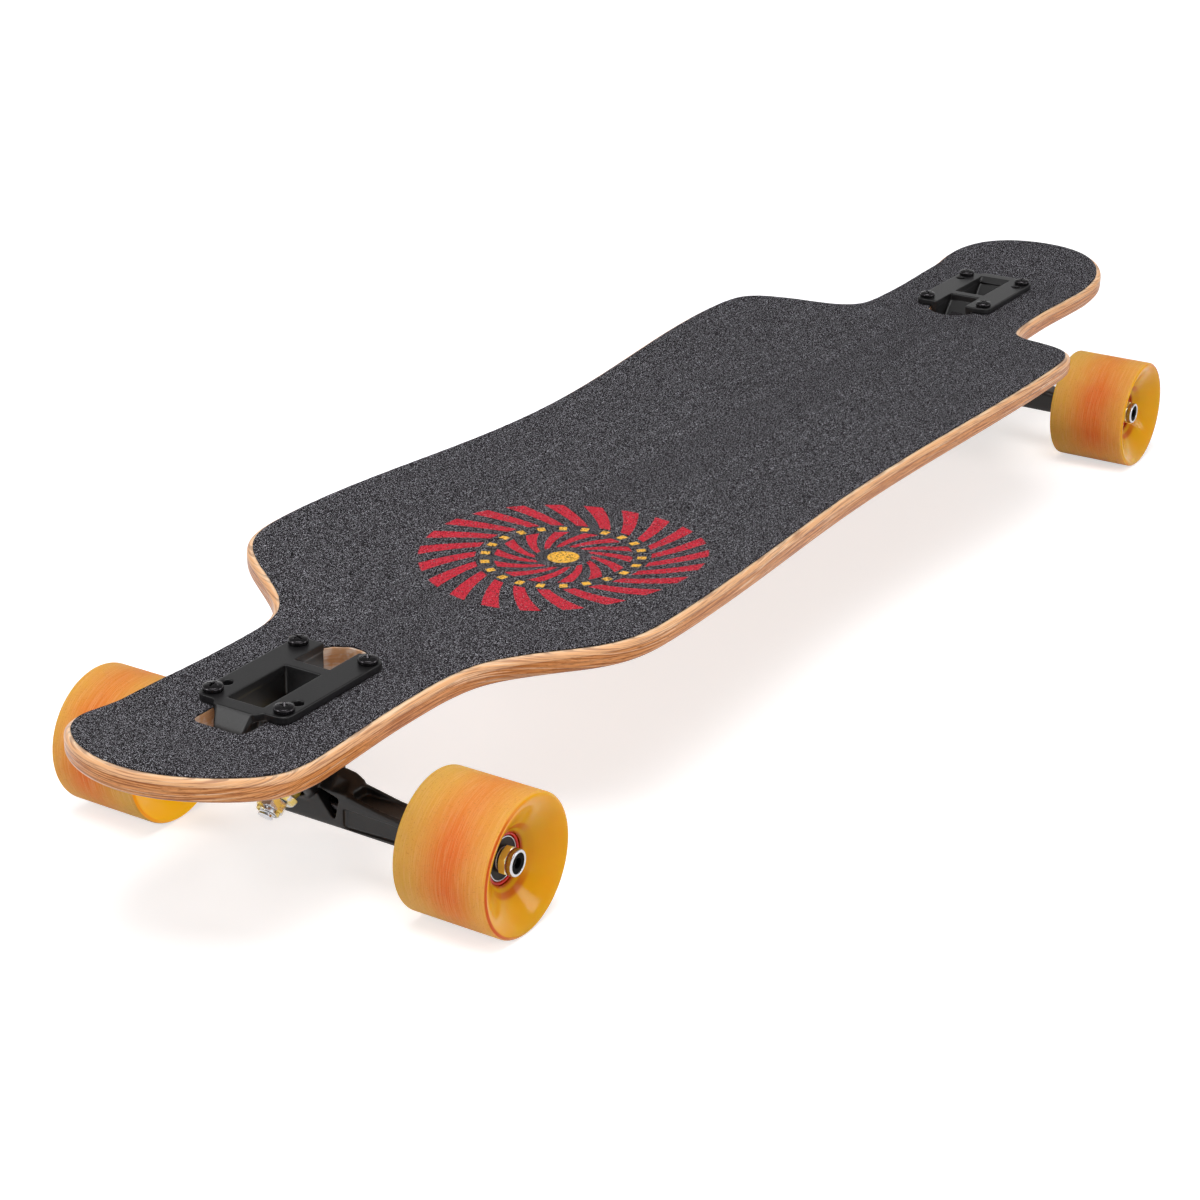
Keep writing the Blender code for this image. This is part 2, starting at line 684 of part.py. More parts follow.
def baseplate_body():
    """The casting before it is drilled."""
    plate = slab("baseplate", plate_outline(), PLATE_UNDERSIDE, PLATE_TOP)
    wall = WINDOW_HALF + OFFSET
    cup_block_end = CUP_END + FIT + CUP_BLOCK_WALL
    return unite(
        plate,
        slab("cheek", cheek_outline(), wall, CHEEK_HALF, "XZ"),
        slab("cheek", cheek_outline(), -CHEEK_HALF, -wall, "XZ"),
        slab("end_wall", end_wall_outline(), OFFSET - CHEEK_HALF, CHEEK_HALF - OFFSET, "XZ"),
        tongue(),
        slab("spine", spine_outline(), -wall - OFFSET, wall + OFFSET, "XZ"),
        rod("boss", BOSS_RADIUS, BOSS_FACE, BLOCK_LOW + SINK, STACK_SIDES, kingpin_frame()),
        rod("cup_block", CUP_BLOCK_RADIUS, CUP_BLOCK_START, cup_block_end, STACK_SIDES, pivot_frame()))


def baseplate_mesh():
    """The cast baseplate: plate, side walls, tongue, kingpin block and pivot leg."""
    block = CUP_BLOCK_RADIUS * 2
    back = -CUP_END - block
    floor = [(back, CUP_BLOCK_FLOOR - block), (0, CUP_BLOCK_FLOOR - block), (0, CUP_BLOCK_FLOOR),
             (back, CUP_BLOCK_FLOOR)]
    pin = (BOSS_FACE - PAST, BLOCK_HIGH + PAST, STACK_SIDES, kingpin_frame())
    cup = (CUP_BLOCK_START - PAST, CUP_END + FIT, STACK_SIDES, pivot_frame())
    cutters = [slab("window", window_outline(), -WINDOW_HALF, WINDOW_HALF, "XZ"),
               rod("kingpin_bore", KINGPIN_BORE, *pin),
               rod("cup_bore", CUP_RADIUS + FIT, *cup),
               slab("floor", floor, -block, block, "XZ")]
    spare = PATTERN_X + BOLT_SPACING_X / 2 - SPARE_HOLE_STEP
    holes = bolt_places() + [(spare, BOLT_SPACING_Y / 2), (spare, -BOLT_SPACING_Y / 2)]
    for x, y in holes:
        shift = Matrix.Translation((x * MM, y * MM, 0))
        cutters.append(rod("hole", BOLT_HOLE, PLATE_UNDERSIDE - PAST, PLATE_TOP + PAST, BOLT_SIDES, shift))
    return finished(subtract(baseplate_body(), *cutters))


# Hanger

def oval_section(y, rear, front, low, high, power):
    """A closed ring of corners between a box and an ellipse, set at one Y."""
    angles = np.radians(np.arange(0, 360, 30) + 15.0)
    across = np.sign(np.cos(angles)) * np.abs(np.cos(angles)) ** (2 / power)
    up = np.sign(np.sin(angles)) * np.abs(np.sin(angles)) ** (2 / power)
    x = (rear + front) / 2 + (front - rear) / 2 * across
    z = (low + high) / 2 + (high - low) / 2 * up
    return np.column_stack((x, np.full_like(x, y), z))


def beam():
    """The hanger's arm from the middle to the shoulder where the wheel starts."""
    arm = [(y, BEAM_REAR, BEAM_FRONT, BEAM_BOTTOM, top, BEAM_SQUARENESS) for y, top in BEAM_TOP]
    end = (-SHOULDER_RADIUS, SHOULDER_RADIUS, -SHOULDER_RADIUS, SHOULDER_RADIUS, 2.0)
    sections = arm + [(HANGER_HALF - SHOULDER_LENGTH, *end), (HANGER_HALF, *end)]
    return mirrored(loft("hanger", [oval_section(*row) for row in sections], close_start=False))


def yoke():
    """The arms that carry the bushing ring: a ridge runs from the ring's side down to the beam."""
    rear = BEAM_REAR + 2 * OFFSET
    front = BEAM_FRONT - OFFSET
    low = BEAM_BOTTOM + YOKE_LOW
    x, z = on_kingpin(WEB_HIGH + RING_RIM, 0)
    rows = [(0.0, x, z - 2.0, 11.4), (RING_RADIUS - 2.0, x, z + 0.7, 12.5), *YOKE_RIDGE]
    sections = [[(rear, y, low), (front, y, low), (front, y, YOKE_FRONT), (along, y, ridge),
                 (rear, y, behind)] for y, along, ridge, behind in rows]
    return mirrored(loft("yoke", sections, close_start=False))


def ring():
    """The bushing ring round the kingpin."""
    low = WEB_LOW - RING_RIM
    high = WEB_HIGH + RING_RIM
    inner = RING_RADIUS - RING_CHAMFER
    profile = [(0, high), (inner, high), (RING_RADIUS, high - RING_CHAMFER),
               (RING_RADIUS, low + RING_CHAMFER), (inner, low), (0, low)]
    return turned("ring", profile, STACK_SIDES + 2, kingpin_frame())


def nose():
    """The pivot that sits in the cup, with a rounded end."""
    root = RING_RADIUS - RING_RIM
    shoulder = CUP_BLOCK_START - 2 * FIT - 0.4
    profile = [(0, NOSE_END), (NOSE_RADIUS * 0.6, NOSE_END - 0.6), (NOSE_RADIUS, NOSE_END - 3.2),
               (NOSE_RADIUS, shoulder), (NOSE_RADIUS + NOSE_NECK, shoulder - 1.6 * NOSE_NECK),
               (NOSE_RADIUS + NOSE_NECK + SINK, root), (0, root)]
    return turned("nose", profile, STACK_SIDES, pivot_frame())


def arm_cutters(side):
    """The front panel, the yoke's pocket and the top trough of one arm."""
    inner, outer = PANEL_ENDS
    start = side * (YOKE_HALF + SINK / 2)
    end = side * (HANGER_HALF - PANEL_MARGIN)
    panel = [(start, inner[0]), (start, inner[1]), (end, outer[1]), (end, outer[0])]
    pocket = [(side * y, z) for y, z in POCKET]
    left = BEAM_REAR + TROUGH_WALL
    right = BEAM_FRONT - TROUGH_WALL
    near = YOKE_HALF + 1.5 * SINK
    trough = rounded([(left, near), (right, near), (right, TROUGH_END), (left, TROUGH_END)],
                     (TROUGH_CORNER,) * 4, steps=2)
    return [slab("panel", panel, BEAM_FRONT - PANEL_DEPTH, BEAM_FRONT + PAST, "YZ"),
            slab("pocket", pocket, BEAM_FRONT - POCKET_DEPTH, BEAM_FRONT + PAST, "YZ"),
            slab("trough", [(x, side * y) for x, y in trough], TROUGH_FLOOR, BEAM_TOP[0][1] + PAST)]


def hanger_mesh():
    """The cast hanger: beam, yoke, ring and pivot nose, with its cast pockets."""
    body = unite(beam(), yoke(), ring(), nose())
    across = Matrix.Rotation(-math.pi / 2, 4, "X")
    high = BOSS_FACE + PAST
    low = KINGPIN_END - PAST
    bore = [(0, high), (RING_SEAT, high), (RING_SEAT, WEB_HIGH), (RING_HOLE, WEB_HIGH),
            (RING_HOLE, WEB_LOW), (RING_SEAT, WEB_LOW), (RING_SEAT, low), (0, low)]
    cutters = [turned("bushing_bore", bore, STACK_SIDES, kingpin_frame()),
               rod("axle_bore", AXLE_BORE, -HANGER_HALF - PAST, HANGER_HALF + PAST, AXLE_SIDES, across)]
    return finished(subtract(body, *cutters, *arm_cutters(1), *arm_cutters(-1)), 30.0)


# Kingpin stack

def hexagon_radius(flats):
    """Distance from a hexagon's middle to its corners, from its width across flats."""
    return flats / 2 / math.cos(math.pi / 6)


def nut_mesh(name, flats, height, collar, bore, sides):
    """A hexagon nut from height 0 up, with a round locking collar at its low end if it has one."""
    body = rod(name, hexagon_radius(flats), collar, height, 6)
    if collar > 0:
        unite(body, rod("collar", flats / 2 - 2 * OFFSET, 0, collar + SINK, sides))
    return finished(subtract(body, rod("bore", bore, -PAST, height + PAST, sides)), 25.0)


def kingpin_mesh():
    """The kingpin bolt with its hexagon head in the baseplate."""
    top = KINGPIN_HEAD + SINK
    shank = turned("kingpin", [(0, top), (KINGPIN_RADIUS, top),
                               (KINGPIN_RADIUS, KINGPIN_END + KINGPIN_BEVEL),
                               (KINGPIN_RADIUS - KINGPIN_BEVEL, KINGPIN_END), (0, KINGPIN_END)], PIN_SIDES)
    corner = hexagon_radius(KINGPIN_HEAD_FLATS)
    head = rod("head", corner, KINGPIN_HEAD, KINGPIN_HEAD + KINGPIN_HEAD_HEIGHT, 6)
    return finished(unite(shank, head), 25.0)


def bushing_mesh(name, height, taper):
    """A urethane bushing from height 0 up: its low end tapers to sit in a cup washer."""
    narrow = WASHER_INNER - FIT
    return finished(turned(name, [(BUSHING_RADIUS - BUSHING_EDGE, height),
                                  (BUSHING_RADIUS, height - BUSHING_EDGE),
                                  (BUSHING_RADIUS, taper), (narrow, 0),
                                  (BUSHING_BORE, 0), (BUSHING_BORE, height)], STACK_SIDES))


def washer_mesh():
    """A cup washer whose rim opens upwards."""
    lean = (WASHER_RIM - WASHER_BASE) / WASHER_DEPTH
    inner_rim = WASHER_INNER + lean * (WASHER_DEPTH - WASHER_WALL)
    return finished(turned("washer", [(WASHER_RIM, WASHER_DEPTH), (WASHER_BASE, 0), (KINGPIN_BORE, 0),
                                      (KINGPIN_BORE, WASHER_WALL), (WASHER_INNER, WASHER_WALL),
                                      (inner_rim, WASHER_DEPTH)], STACK_SIDES))


def pivot_cup_mesh():
    """The urethane cup round the pivot nose."""
    floor = NOSE_END + FIT
    return finished(turned("pivot_cup", [(0, CUP_END), (CUP_RADIUS, CUP_END), (CUP_RADIUS, CUP_START),
                                         (CUP_BORE, CUP_START), (CUP_BORE, floor), (0, floor)],
                           STACK_SIDES, pivot_frame()))


# Fasteners, axle and wheels

def mounting_bolt_mesh():
    """A pan head bolt, from the seat of its head at height 0 down through the deck."""
    tail = DECK_UNDERSIDE - FIT - LOCKNUT_HEIGHT - BOLT_TAIL - PLATE_TOP - FIT
    flat = BOLT_HEAD_RADIUS * BOLT_HEAD_FLAT
    side = BOLT_HEAD_HEIGHT * BOLT_HEAD_SIDE
    return finished(turned("bolt", [(0, BOLT_HEAD_HEIGHT), (flat, BOLT_HEAD_HEIGHT),
                                    (BOLT_HEAD_RADIUS, side), (BOLT_HEAD_RADIUS, 0),
                                    (BOLT_RADIUS, 0), (BOLT_RADIUS, tail), (0, tail)], BOLT_SIDES))


def axle_mesh():
    """The axle with the spacer and the thin washers of each wheel on it, along Z."""
    half = [(0, AXLE_HALF), (AXLE_RADIUS, AXLE_HALF)]
    spacer = SPACER_LENGTH / 2
    bearing_end = spacer + FIT + BEARING_WIDTH + FIT
    for low, high in ((WHEEL_Y + bearing_end, WHEEL_Y + bearing_end + SPEED_RING),
                      (WHEEL_Y - spacer, WHEEL_Y + spacer),
                      (WHEEL_Y - bearing_end - SPEED_RING, WHEEL_Y - bearing_end)):
        half += [(AXLE_RADIUS, high), (SPACER_RADIUS, high), (SPACER_RADIUS, low), (AXLE_RADIUS, low)]
    other = [(radius, -height) for radius, height in reversed(half)]
    return finished(turned("axle", half + other, AXLE_SIDES))


def wheel_mesh():
    """The urethane wheel: square tread with round edges, dished faces and a bore round the core.

    The middle of a facet touches the ground, so the corners between facets stand a little further out.
    """
    half = WHEEL_WIDTH / 2
    corner = WHEEL_RADIUS / math.cos(math.pi / TREAD_SIDES)
    step = WHEEL_EDGE * (1 - math.sqrt(0.5))
    bore_edge = half - HUB_DISH
    face = [(CORE_NECK + FIT, bore_edge), (LIP_RADIUS, half),
            (corner - step, half - step), (corner, half - WHEEL_EDGE)]
    other = [(radius, -height) for radius, height in reversed(face)]
    bore = [(CORE_RADIUS + FIT, -CORE_WAIST - FIT), (CORE_RADIUS + FIT, CORE_WAIST + FIT)]
    half_facet = Matrix.Rotation(math.pi / TREAD_SIDES, 4, "Z")
    return finished(turned("wheel", face + other + bore, TREAD_SIDES, half_facet))


def core_mesh():
    """The wheel's core with a bearing seat on each side."""
    seat = BEARING_RADIUS + FIT
    shoulder = SPACER_LENGTH / 2
    outer = [(CORE_NECK, CORE_HALF), (CORE_RADIUS, CORE_WAIST), (CORE_RADIUS, -CORE_WAIST),
             (CORE_NECK, -CORE_HALF)]
    inner = [(seat, -CORE_HALF), (seat, -shoulder), (CORE_SHOULDER, -shoulder),
             (CORE_SHOULDER, shoulder), (seat, shoulder), (seat, CORE_HALF)]
    return finished(turned("core", outer + inner, HUB_SIDES))


def bearing_mesh():
    """A bearing whose shield lies a little inside its races on the outer face."""
    half = BEARING_WIDTH / 2
    shield = half - SHIELD_DEPTH
    inner = BEARING_BORE + BEARING_RACE
    outer = BEARING_RADIUS - BEARING_RACE
    slope = SHIELD_DEPTH / 2
    return finished(turned("bearing", [(BEARING_RADIUS, half), (BEARING_RADIUS, -half),
                                       (BEARING_BORE, -half), (BEARING_BORE, half), (inner, half),
                                       (inner + slope, shield), (outer - slope, shield), (outer, half)],
                           HUB_SIDES), 30.0)


# Putting the board together

def build_materials():
    """The finishes of the board."""
    return {
        "maple": material("clear_coated_maple", (0.56, 0.33, 0.17), 0.35),
        "grip": material("grit_grip", (0.022, 0.023, 0.026), 0.95),
        "cast": material("black_cast_aluminium", (0.018, 0.017, 0.018), 0.42, 0.35),
        "steel": material("bright_steel", (0.60, 0.61, 0.62), 0.24, 1.0),
        "black_steel": material("black_steel", (0.02, 0.02, 0.02), 0.3, 0.6),
        "bushing": material("olive_urethane", (0.50, 0.42, 0.02), 0.35),
        "cup": material("dark_urethane", (0.03, 0.03, 0.03), 0.5),
        "tread": material("amber_urethane", (0.82, 0.38, 0.03), 0.4),
        "core": material("red_core", (0.62, 0.05, 0.02), 0.35),
        "bearing": material("shielded_bearing", (0.08, 0.08, 0.08), 0.3, 0.7),
    }


def build_meshes():
    """One mesh for each kind of piece in the trucks and wheels."""
    nut_bore = KINGPIN_RADIUS + FIT + 2 * THREAD_FIT
    return {
        "baseplate": baseplate_mesh(), "hanger": hanger_mesh(), "pivot_cup": pivot_cup_mesh(),
        "kingpin": kingpin_mesh(), "washer": washer_mesh(), "axle": axle_mesh(),
        "kingpin_nut": nut_mesh("kingpin_nut", KINGPIN_NUT_FLATS, KINGPIN_NUT_HEIGHT,
                                KINGPIN_NUT_COLLAR, nut_bore, PIN_SIDES),
        "axle_nut": nut_mesh("axle_nut", AXLE_NUT_FLATS, AXLE_NUT_HEIGHT, AXLE_NUT_COLLAR,
                             AXLE_BORE, PIN_SIDES),
        "locknut": nut_mesh("locknut", LOCKNUT_FLATS, LOCKNUT_HEIGHT, 0.0, BOLT_RADIUS + FIT, BOLT_SIDES),
        "road_bushing": bushing_mesh("roadside_bushing", ROAD_BUSHING_HEIGHT, ROAD_BUSHING_TAPER),
        "board_bushing": bushing_mesh("boardside_bushing", BOARD_BUSHING_HEIGHT, BOARD_BUSHING_TAPER),
        "bolt": mounting_bolt_mesh(), "wheel": wheel_mesh(), "core": core_mesh(),
        "bearing": bearing_mesh(),
    }


def fixed_truck_parts(end, truck, meshes, looks):
    """What stays with the deck: baseplate, pivot cup, kingpin stack and mounting hardware."""
    place(f"{end}_baseplate", meshes["baseplate"], looks["cast"], truck)
    place(f"{end}_pivot_cup", meshes["pivot_cup"], looks["cup"], truck)
    tilt = (0, -KINGPIN_ANGLE, 0)
    flipped = (0, math.pi - KINGPIN_ANGLE, 0)

    def up_kingpin(height):
        x, z = on_kingpin(height, 0)
        return x, 0, z

    place(f"{end}_kingpin", meshes["kingpin"], looks["steel"], truck, up_kingpin(0), tilt)
    stack = (("kingpin_nut", "kingpin_nut", "steel", KINGPIN_NUT, tilt),
             ("roadside_washer", "washer", "steel", ROAD_WASHER, tilt),
             ("roadside_bushing", "road_bushing", "bushing", ROAD_BUSHING, tilt),
             ("boardside_bushing", "board_bushing", "bushing", BOARD_BUSHING + BOARD_BUSHING_HEIGHT, flipped),
             ("boardside_washer", "washer", "steel", BOARD_WASHER_TOP, flipped))
    for name, mesh, look, height, turn in stack:
        place(f"{end}_{name}", meshes[mesh], looks[look], truck, up_kingpin(height), turn)
    for number, (x, y) in enumerate(bolt_places(), 1):
        place(f"{end}_mounting_bolt_{number}", meshes["bolt"], looks["black_steel"], truck,
              (x, y, PLATE_TOP + FIT))
        place(f"{end}_mounting_nut_{number}", meshes["locknut"], looks["black_steel"], truck,
              (x, y, DECK_UNDERSIDE - FIT - LOCKNUT_HEIGHT))


def steered_truck_parts(end, truck, sides, meshes, looks):
    """What swings on the steering axis: hanger, axle, axle nuts and the two wheels."""
    x, z = on_kingpin(RING_CENTRE, 0)
    steering = marker(f"{end}_steering_axis", truck, (x, 0, z))
    place(f"{end}_hanger", meshes["hanger"], looks["cast"], steering, (-x, 0, -z))
    place(f"{end}_axle", meshes["axle"], looks["steel"], steering, (-x, 0, -z), (-math.pi / 2, 0, 0))
    for side, sign in zip(sides, (1, -1)):
        outward = (-sign * math.pi / 2, 0, 0)
        place(f"{end}_{side}_axle_nut", meshes["axle_nut"], looks["steel"], steering,
              (-x, sign * (AXLE_NUT_Y + AXLE_NUT_HEIGHT), -z), (sign * math.pi / 2, 0, 0))
        spin = marker(f"{end}_{side}_wheel_centre", steering, (-x, sign * WHEEL_Y, -z))
        place(f"{end}_{side}_wheel", meshes["wheel"], looks["tread"], spin, rotation=outward)
        place(f"{end}_{side}_wheel_core", meshes["core"], looks["core"], spin, rotation=outward)
        seat = sign * (SPACER_LENGTH / 2 + FIT + BEARING_WIDTH / 2)
        inward = (sign * math.pi / 2, 0, 0)
        for bearing, y, facing in (("outer", seat, outward), ("inner", -seat, inward)):
            place(f"{end}_{side}_{bearing}_bearing", meshes["bearing"], looks["bearing"], spin, (0, y, 0),
                  facing)


def build():
    """Model the whole board."""
    looks = build_materials()
    place("deck", deck_mesh(), looks["maple"])
    place("grip_tape", grip_mesh(), looks["grip"])
    meshes = build_meshes()
    for end, direction, turn, sides in (("front", 1, 0.0, ("left", "right")),
                                        ("rear", -1, math.pi, ("right", "left"))):
        truck = marker(f"{end}_truck", None, (direction * TRUCK_X, 0, AXLE_Z), turn)
        fixed_truck_parts(end, truck, meshes, looks)
        steered_truck_parts(end, truck, sides, meshes, looks)


clear_scene()
BOARD = collection("longboard")
HELPERS = collection("cutters")
build()
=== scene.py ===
import math

import bmesh
import bpy
import numpy as np
from mathutils import Matrix, Vector


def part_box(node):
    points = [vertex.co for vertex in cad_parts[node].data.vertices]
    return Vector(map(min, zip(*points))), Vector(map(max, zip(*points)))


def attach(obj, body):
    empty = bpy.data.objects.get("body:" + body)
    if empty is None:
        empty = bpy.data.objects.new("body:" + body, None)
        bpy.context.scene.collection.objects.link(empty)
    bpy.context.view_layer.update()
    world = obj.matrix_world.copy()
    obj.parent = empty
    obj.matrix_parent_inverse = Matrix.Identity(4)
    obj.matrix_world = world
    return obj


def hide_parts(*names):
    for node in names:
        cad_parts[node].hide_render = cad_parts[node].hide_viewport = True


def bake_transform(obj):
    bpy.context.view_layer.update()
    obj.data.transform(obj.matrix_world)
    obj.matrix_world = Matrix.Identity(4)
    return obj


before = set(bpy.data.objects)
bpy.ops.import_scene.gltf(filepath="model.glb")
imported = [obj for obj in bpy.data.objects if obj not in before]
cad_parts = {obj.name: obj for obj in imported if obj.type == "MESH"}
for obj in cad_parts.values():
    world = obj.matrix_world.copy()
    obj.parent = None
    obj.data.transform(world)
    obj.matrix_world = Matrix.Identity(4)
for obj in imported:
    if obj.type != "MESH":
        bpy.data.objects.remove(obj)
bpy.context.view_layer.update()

bl_info = {
    "name": "Drop-through longboard",
    "version": (1, 0, 0),
    "blender": (4, 5, 0),
    "location": "3D View > Sidebar > Longboard",
    "description": "Builds the visible pieces of a drop-through longboard round its packed solids",
    "category": "Object",
}

MM = 0.001
GAP = 0.3 * MM          # left between pieces that touch
PAST = 5 * MM           # how far a cutter runs beyond what it cuts
MERGE = 0.004 * MM      # corners closer than this become one
THIN = 0.01 * MM        # faces thinner than this are dropped
ENDS = (("front", 1), ("rear", -1))
SIDES = (("left", 1), ("right", -1))

# Places read from the packed solids
WHEEL_LOW, WHEEL_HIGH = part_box("front_left_wheel")
TRUCK_X = (WHEEL_LOW.x + WHEEL_HIGH.x) / 2
WHEEL_Y = (WHEEL_LOW.y + WHEEL_HIGH.y) / 2
AXLE_Z = (WHEEL_LOW.z + WHEEL_HIGH.z) / 2
WHEEL_RADIUS = (WHEEL_HIGH.z - WHEEL_LOW.z) / 2
WHEEL_HALF = (WHEEL_HIGH.y - WHEEL_LOW.y) / 2
AXLE_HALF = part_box("front_axle")[1].y
NUT_LOW, NUT_HIGH = (corner.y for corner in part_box("front_left_axle_nut"))
PLATE_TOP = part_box("front_baseplate")[1].z
HANGER_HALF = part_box("front_hanger")[1].y

# Deck plan and heights
WAIST_HALF = 108.3 * MM
PLATFORM_HALF = 119.7 * MM
PLATFORM_X = TRUCK_X - 147.9 * MM
NECK_HALF = 53.3 * MM
NECK_X = TRUCK_X - 84.4 * MM
NECK_SPREAD = 10.7 * MM
TIP_HALF = 55.6 * MM
TIP_SWELL_X = TRUCK_X - 7.9 * MM
TIP_SWELL_LENGTH = 70 * MM
CAP_X = TRUCK_X + 77.1 * MM
CAP_LENGTH = 49 * MM
GRIP_TOP = AXLE_Z + 59.8 * MM
GRIP_THICKNESS = 0.8 * MM
DECK_DROP = GRIP_THICKNESS + GAP
DECK_THICKNESS = 11.2 * MM
DECK_BORDER = 3.2 * MM
CONCAVE_WAIST = 8 * MM
CONCAVE_PLATFORM = 11.5 * MM
CONCAVE_WIDTH = 123 * MM
CONCAVE_END = TRUCK_X - 87.9 * MM
FLAT_START = TRUCK_X - 42.9 * MM
FLAT_END = TRUCK_X + 57.1 * MM
TIP_LIFT = 9.6 * MM
TIP_LIFT_LENGTH = 72 * MM

# Truck places, from the middle of the axle
PATTERN_X = 5.3 * MM
BOLT_SPACING = (63.5 * MM, 41.3 * MM)
SPARE_HOLE_STEP = 10 * MM
BOLT_RADIUS = 2.35 * MM
BOLT_HOLE = 2.8 * MM
SPARE_HOLE = 3.0 * MM
SLOT_INBOARD = 50 * MM
SLOT_OUTBOARD = 54.5 * MM
SLOT_HALF = 15.5 * MM
SLOT_CORNER = 5.5 * MM
KINGPIN_ANGLE = math.radians(48)
KINGPIN_FOOT = (28.4 * MM, 0.8 * MM)
PIVOT_ANGLE = math.radians(45)

# A kingpin and what sits on it, by height from its foot
KINGPIN_RADIUS = 4 * MM
KINGPIN_END = -0.5 * MM
KINGPIN_NUT = 1.9 * MM
ROAD_WASHER = 9.6 * MM
ROAD_BUSHING = 11.1 * MM
WEB_LOW = 21.5 * MM
RING_CENTRE = 26.5 * MM
WEB_HIGH = 31.5 * MM
BOARD_BUSHING = 31.8 * MM
BOARD_WASHER_TOP = 50.8 * MM
BOSS_FACE = 51.1 * MM
KINGPIN_HEAD = 68.3 * MM

# Recesses in a hanger's front and the cut that slopes its yoke beside the ring, across and up in millimetres;
# then the side pockets and the back of a baseplate's pivot leg, along and up
BEAM_FRONT = 8 * MM
PANEL = ((29.5, 4.4), (72, 3.0), (72, -5.0), (29.5, -6.2))
PANEL_DEPTH = 2.2 * MM
POCKET = ((13.4, 12.0), (27.2, 8.3), (24.4, -3.4))
POCKET_DEPTH = 9 * MM
YOKE_CUT = ((16.2, 45), (16.2, 20.5), (22, 17.3), (31, 12.3), (40, 12.3), (40, 45))
LEG_POCKET = ((-52, -7), (-33, -6.5), (-22.5, 3.5), (-17, 8), (-19.5, 21), (-26, 29.5), (-34, 41), (-52, 44))
LEG_BACK = ((-52, -7), (-33, -6.5), (-28, -1), (-28, 28), (-34, 41), (-52, 44))
LEG_WEB = 4.5 * MM
LEG_CLEAR = 30 * MM

# A baseplate's plate and cheeks, along, across and up from the middle of the axle, and its bores
PLATE_ENDS = ((43.8 * MM, 1), (-33.2 * MM, -1))
PLATE_HALF = 26.3 * MM
PLATE_LEVELS = (60.12 * MM, 64.08 * MM)
EAR = 9 * MM
CHEEK = ((-8, 10.8), (41, 10.8), (41, 14), (-8, 14))
CHEEK_LEVELS = (43.5 * MM, 60.6 * MM)
PIN_BORE = 4.55 * MM
CUP_SEAT = 8.12 * MM
CUP_FLOOR = 45.5 * MM

# A hanger's bores and its bushing ring
AXLE_BORE = 4.3 * MM
BUSHING_SEAT = 11.6 * MM
WEB_BORE = 6.5 * MM
RING_RADIUS = 16 * MM
RING_WALL = 4.5 * MM

# Nuts, rods and bushings; a nut's row gives its flats, height, collar and bore
NUT_FLATS = 13 * MM
NUT_BORE = 4.15 * MM
KINGPIN_NUT_SIZES = (NUT_FLATS, 7.4 * MM, 2 * MM, NUT_BORE)
DECK_NUT_SIZES = (8 * MM, 5 * MM, 1.4 * MM, 2.5 * MM)
CHAMFER = 0.9 * MM
CHAMFER_SLOPE = 1.9
HEAD_TALL = 6 * MM
PIN_THREAD = 14 * MM
INSERT = (5.15 * MM, 2.6 * MM)          # outer radius and bore of a nut's nylon insert
INSERT_INSET = (2.6 * MM, 0.45 * MM)    # how far inside the nut's end it starts and stops
THREAD_DEPTH = 0.55                     # share of the pitch
BOARD_BUSHING_TALL = 17.5               # in millimetres, as bushing_mesh takes it
TURNED_OVER = Matrix.Rotation(math.pi, 4, "X")

# Wheel stack, from the middle of a wheel along its axle
SPACER_HALF = 4.7 * MM
BEARING_START = 5.0 * MM
BEARING_WIDTH = 7 * MM
RING_START = 12.3 * MM
SPEED_RING = 0.8 * MM
SPACER_RADIUS = 5.6 * MM
SPACER_BORE = 4.05 * MM
AXLE_RADIUS = 3.95 * MM


# Lamps: name, place, target, size and share of the key light's power
LAMPS = (("key_lamp", (0.7, 0.3, 2.25), (0.1, 0, 0), 1.5, 1.0),
         ("side_lamp", (1.2, 2.3, 0.9), (0.1, 0, 0.05), 1.5, 0.25),
         ("back_lamp", (-0.66, 2.0, 0.66), (0.37, 0.13, 0.03), 0.6, 0.24),
         ("front_lamp", (2.1, -1.1, 1.1), (0.3, 0, 0.06), 0.8, 0.35))

# Outputs of a light path node: seen by the camera, by a glossy ray and by a ray that has passed through
SEEN, GLOSSY, THROUGH = 0, 3, 6


def linear(red, green, blue):
    """Linear colour of three screen values from 0 to 255."""
    share = np.array((red, green, blue)) / 255
    return tuple(float(v) for v in np.where(share > 0.04045, ((share + 0.055) / 1.055) ** 2.4, share / 12.92))


def toned(colour, factor):
    """A colour times a number: under 1 darkens it, over 1 lightens it."""
    return tuple(factor * value for value in colour)


# Sizes and colours that a user would change

def length(name, description, default):
    """A length property in metres."""
    return bpy.props.FloatProperty(name=name, description=description, default=default,
                                   subtype="DISTANCE", unit="LENGTH", precision=5)


def tint(name, description, red, green, blue):
    """A colour property whose default is given as screen values."""
    return bpy.props.FloatVectorProperty(name=name, description=description, subtype="COLOR", size=3,
                                         min=0, max=1, default=linear(red, green, blue))


class BoardSizes(bpy.types.PropertyGroup):
    """Sizes of the deck and its grip."""
    rail: length("Rail rounding", "Radius of the deck's long edges", 3 * MM)
    column: length("Outline step", "Distance between mesh columns round the outline", 2.6 * MM)
    grain: length("Grit size", "Size of one grain of the grip", 0.62 * MM)
    badge_x: length("Rosette along", "Middle of the printed rosette along the board", 177 * MM)
    badge_y: length("Rosette across", "Middle of the printed rosette across the board", 21 * MM)
    badge: length("Rosette radius", "Outer radius of the printed rosette", 76 * MM)


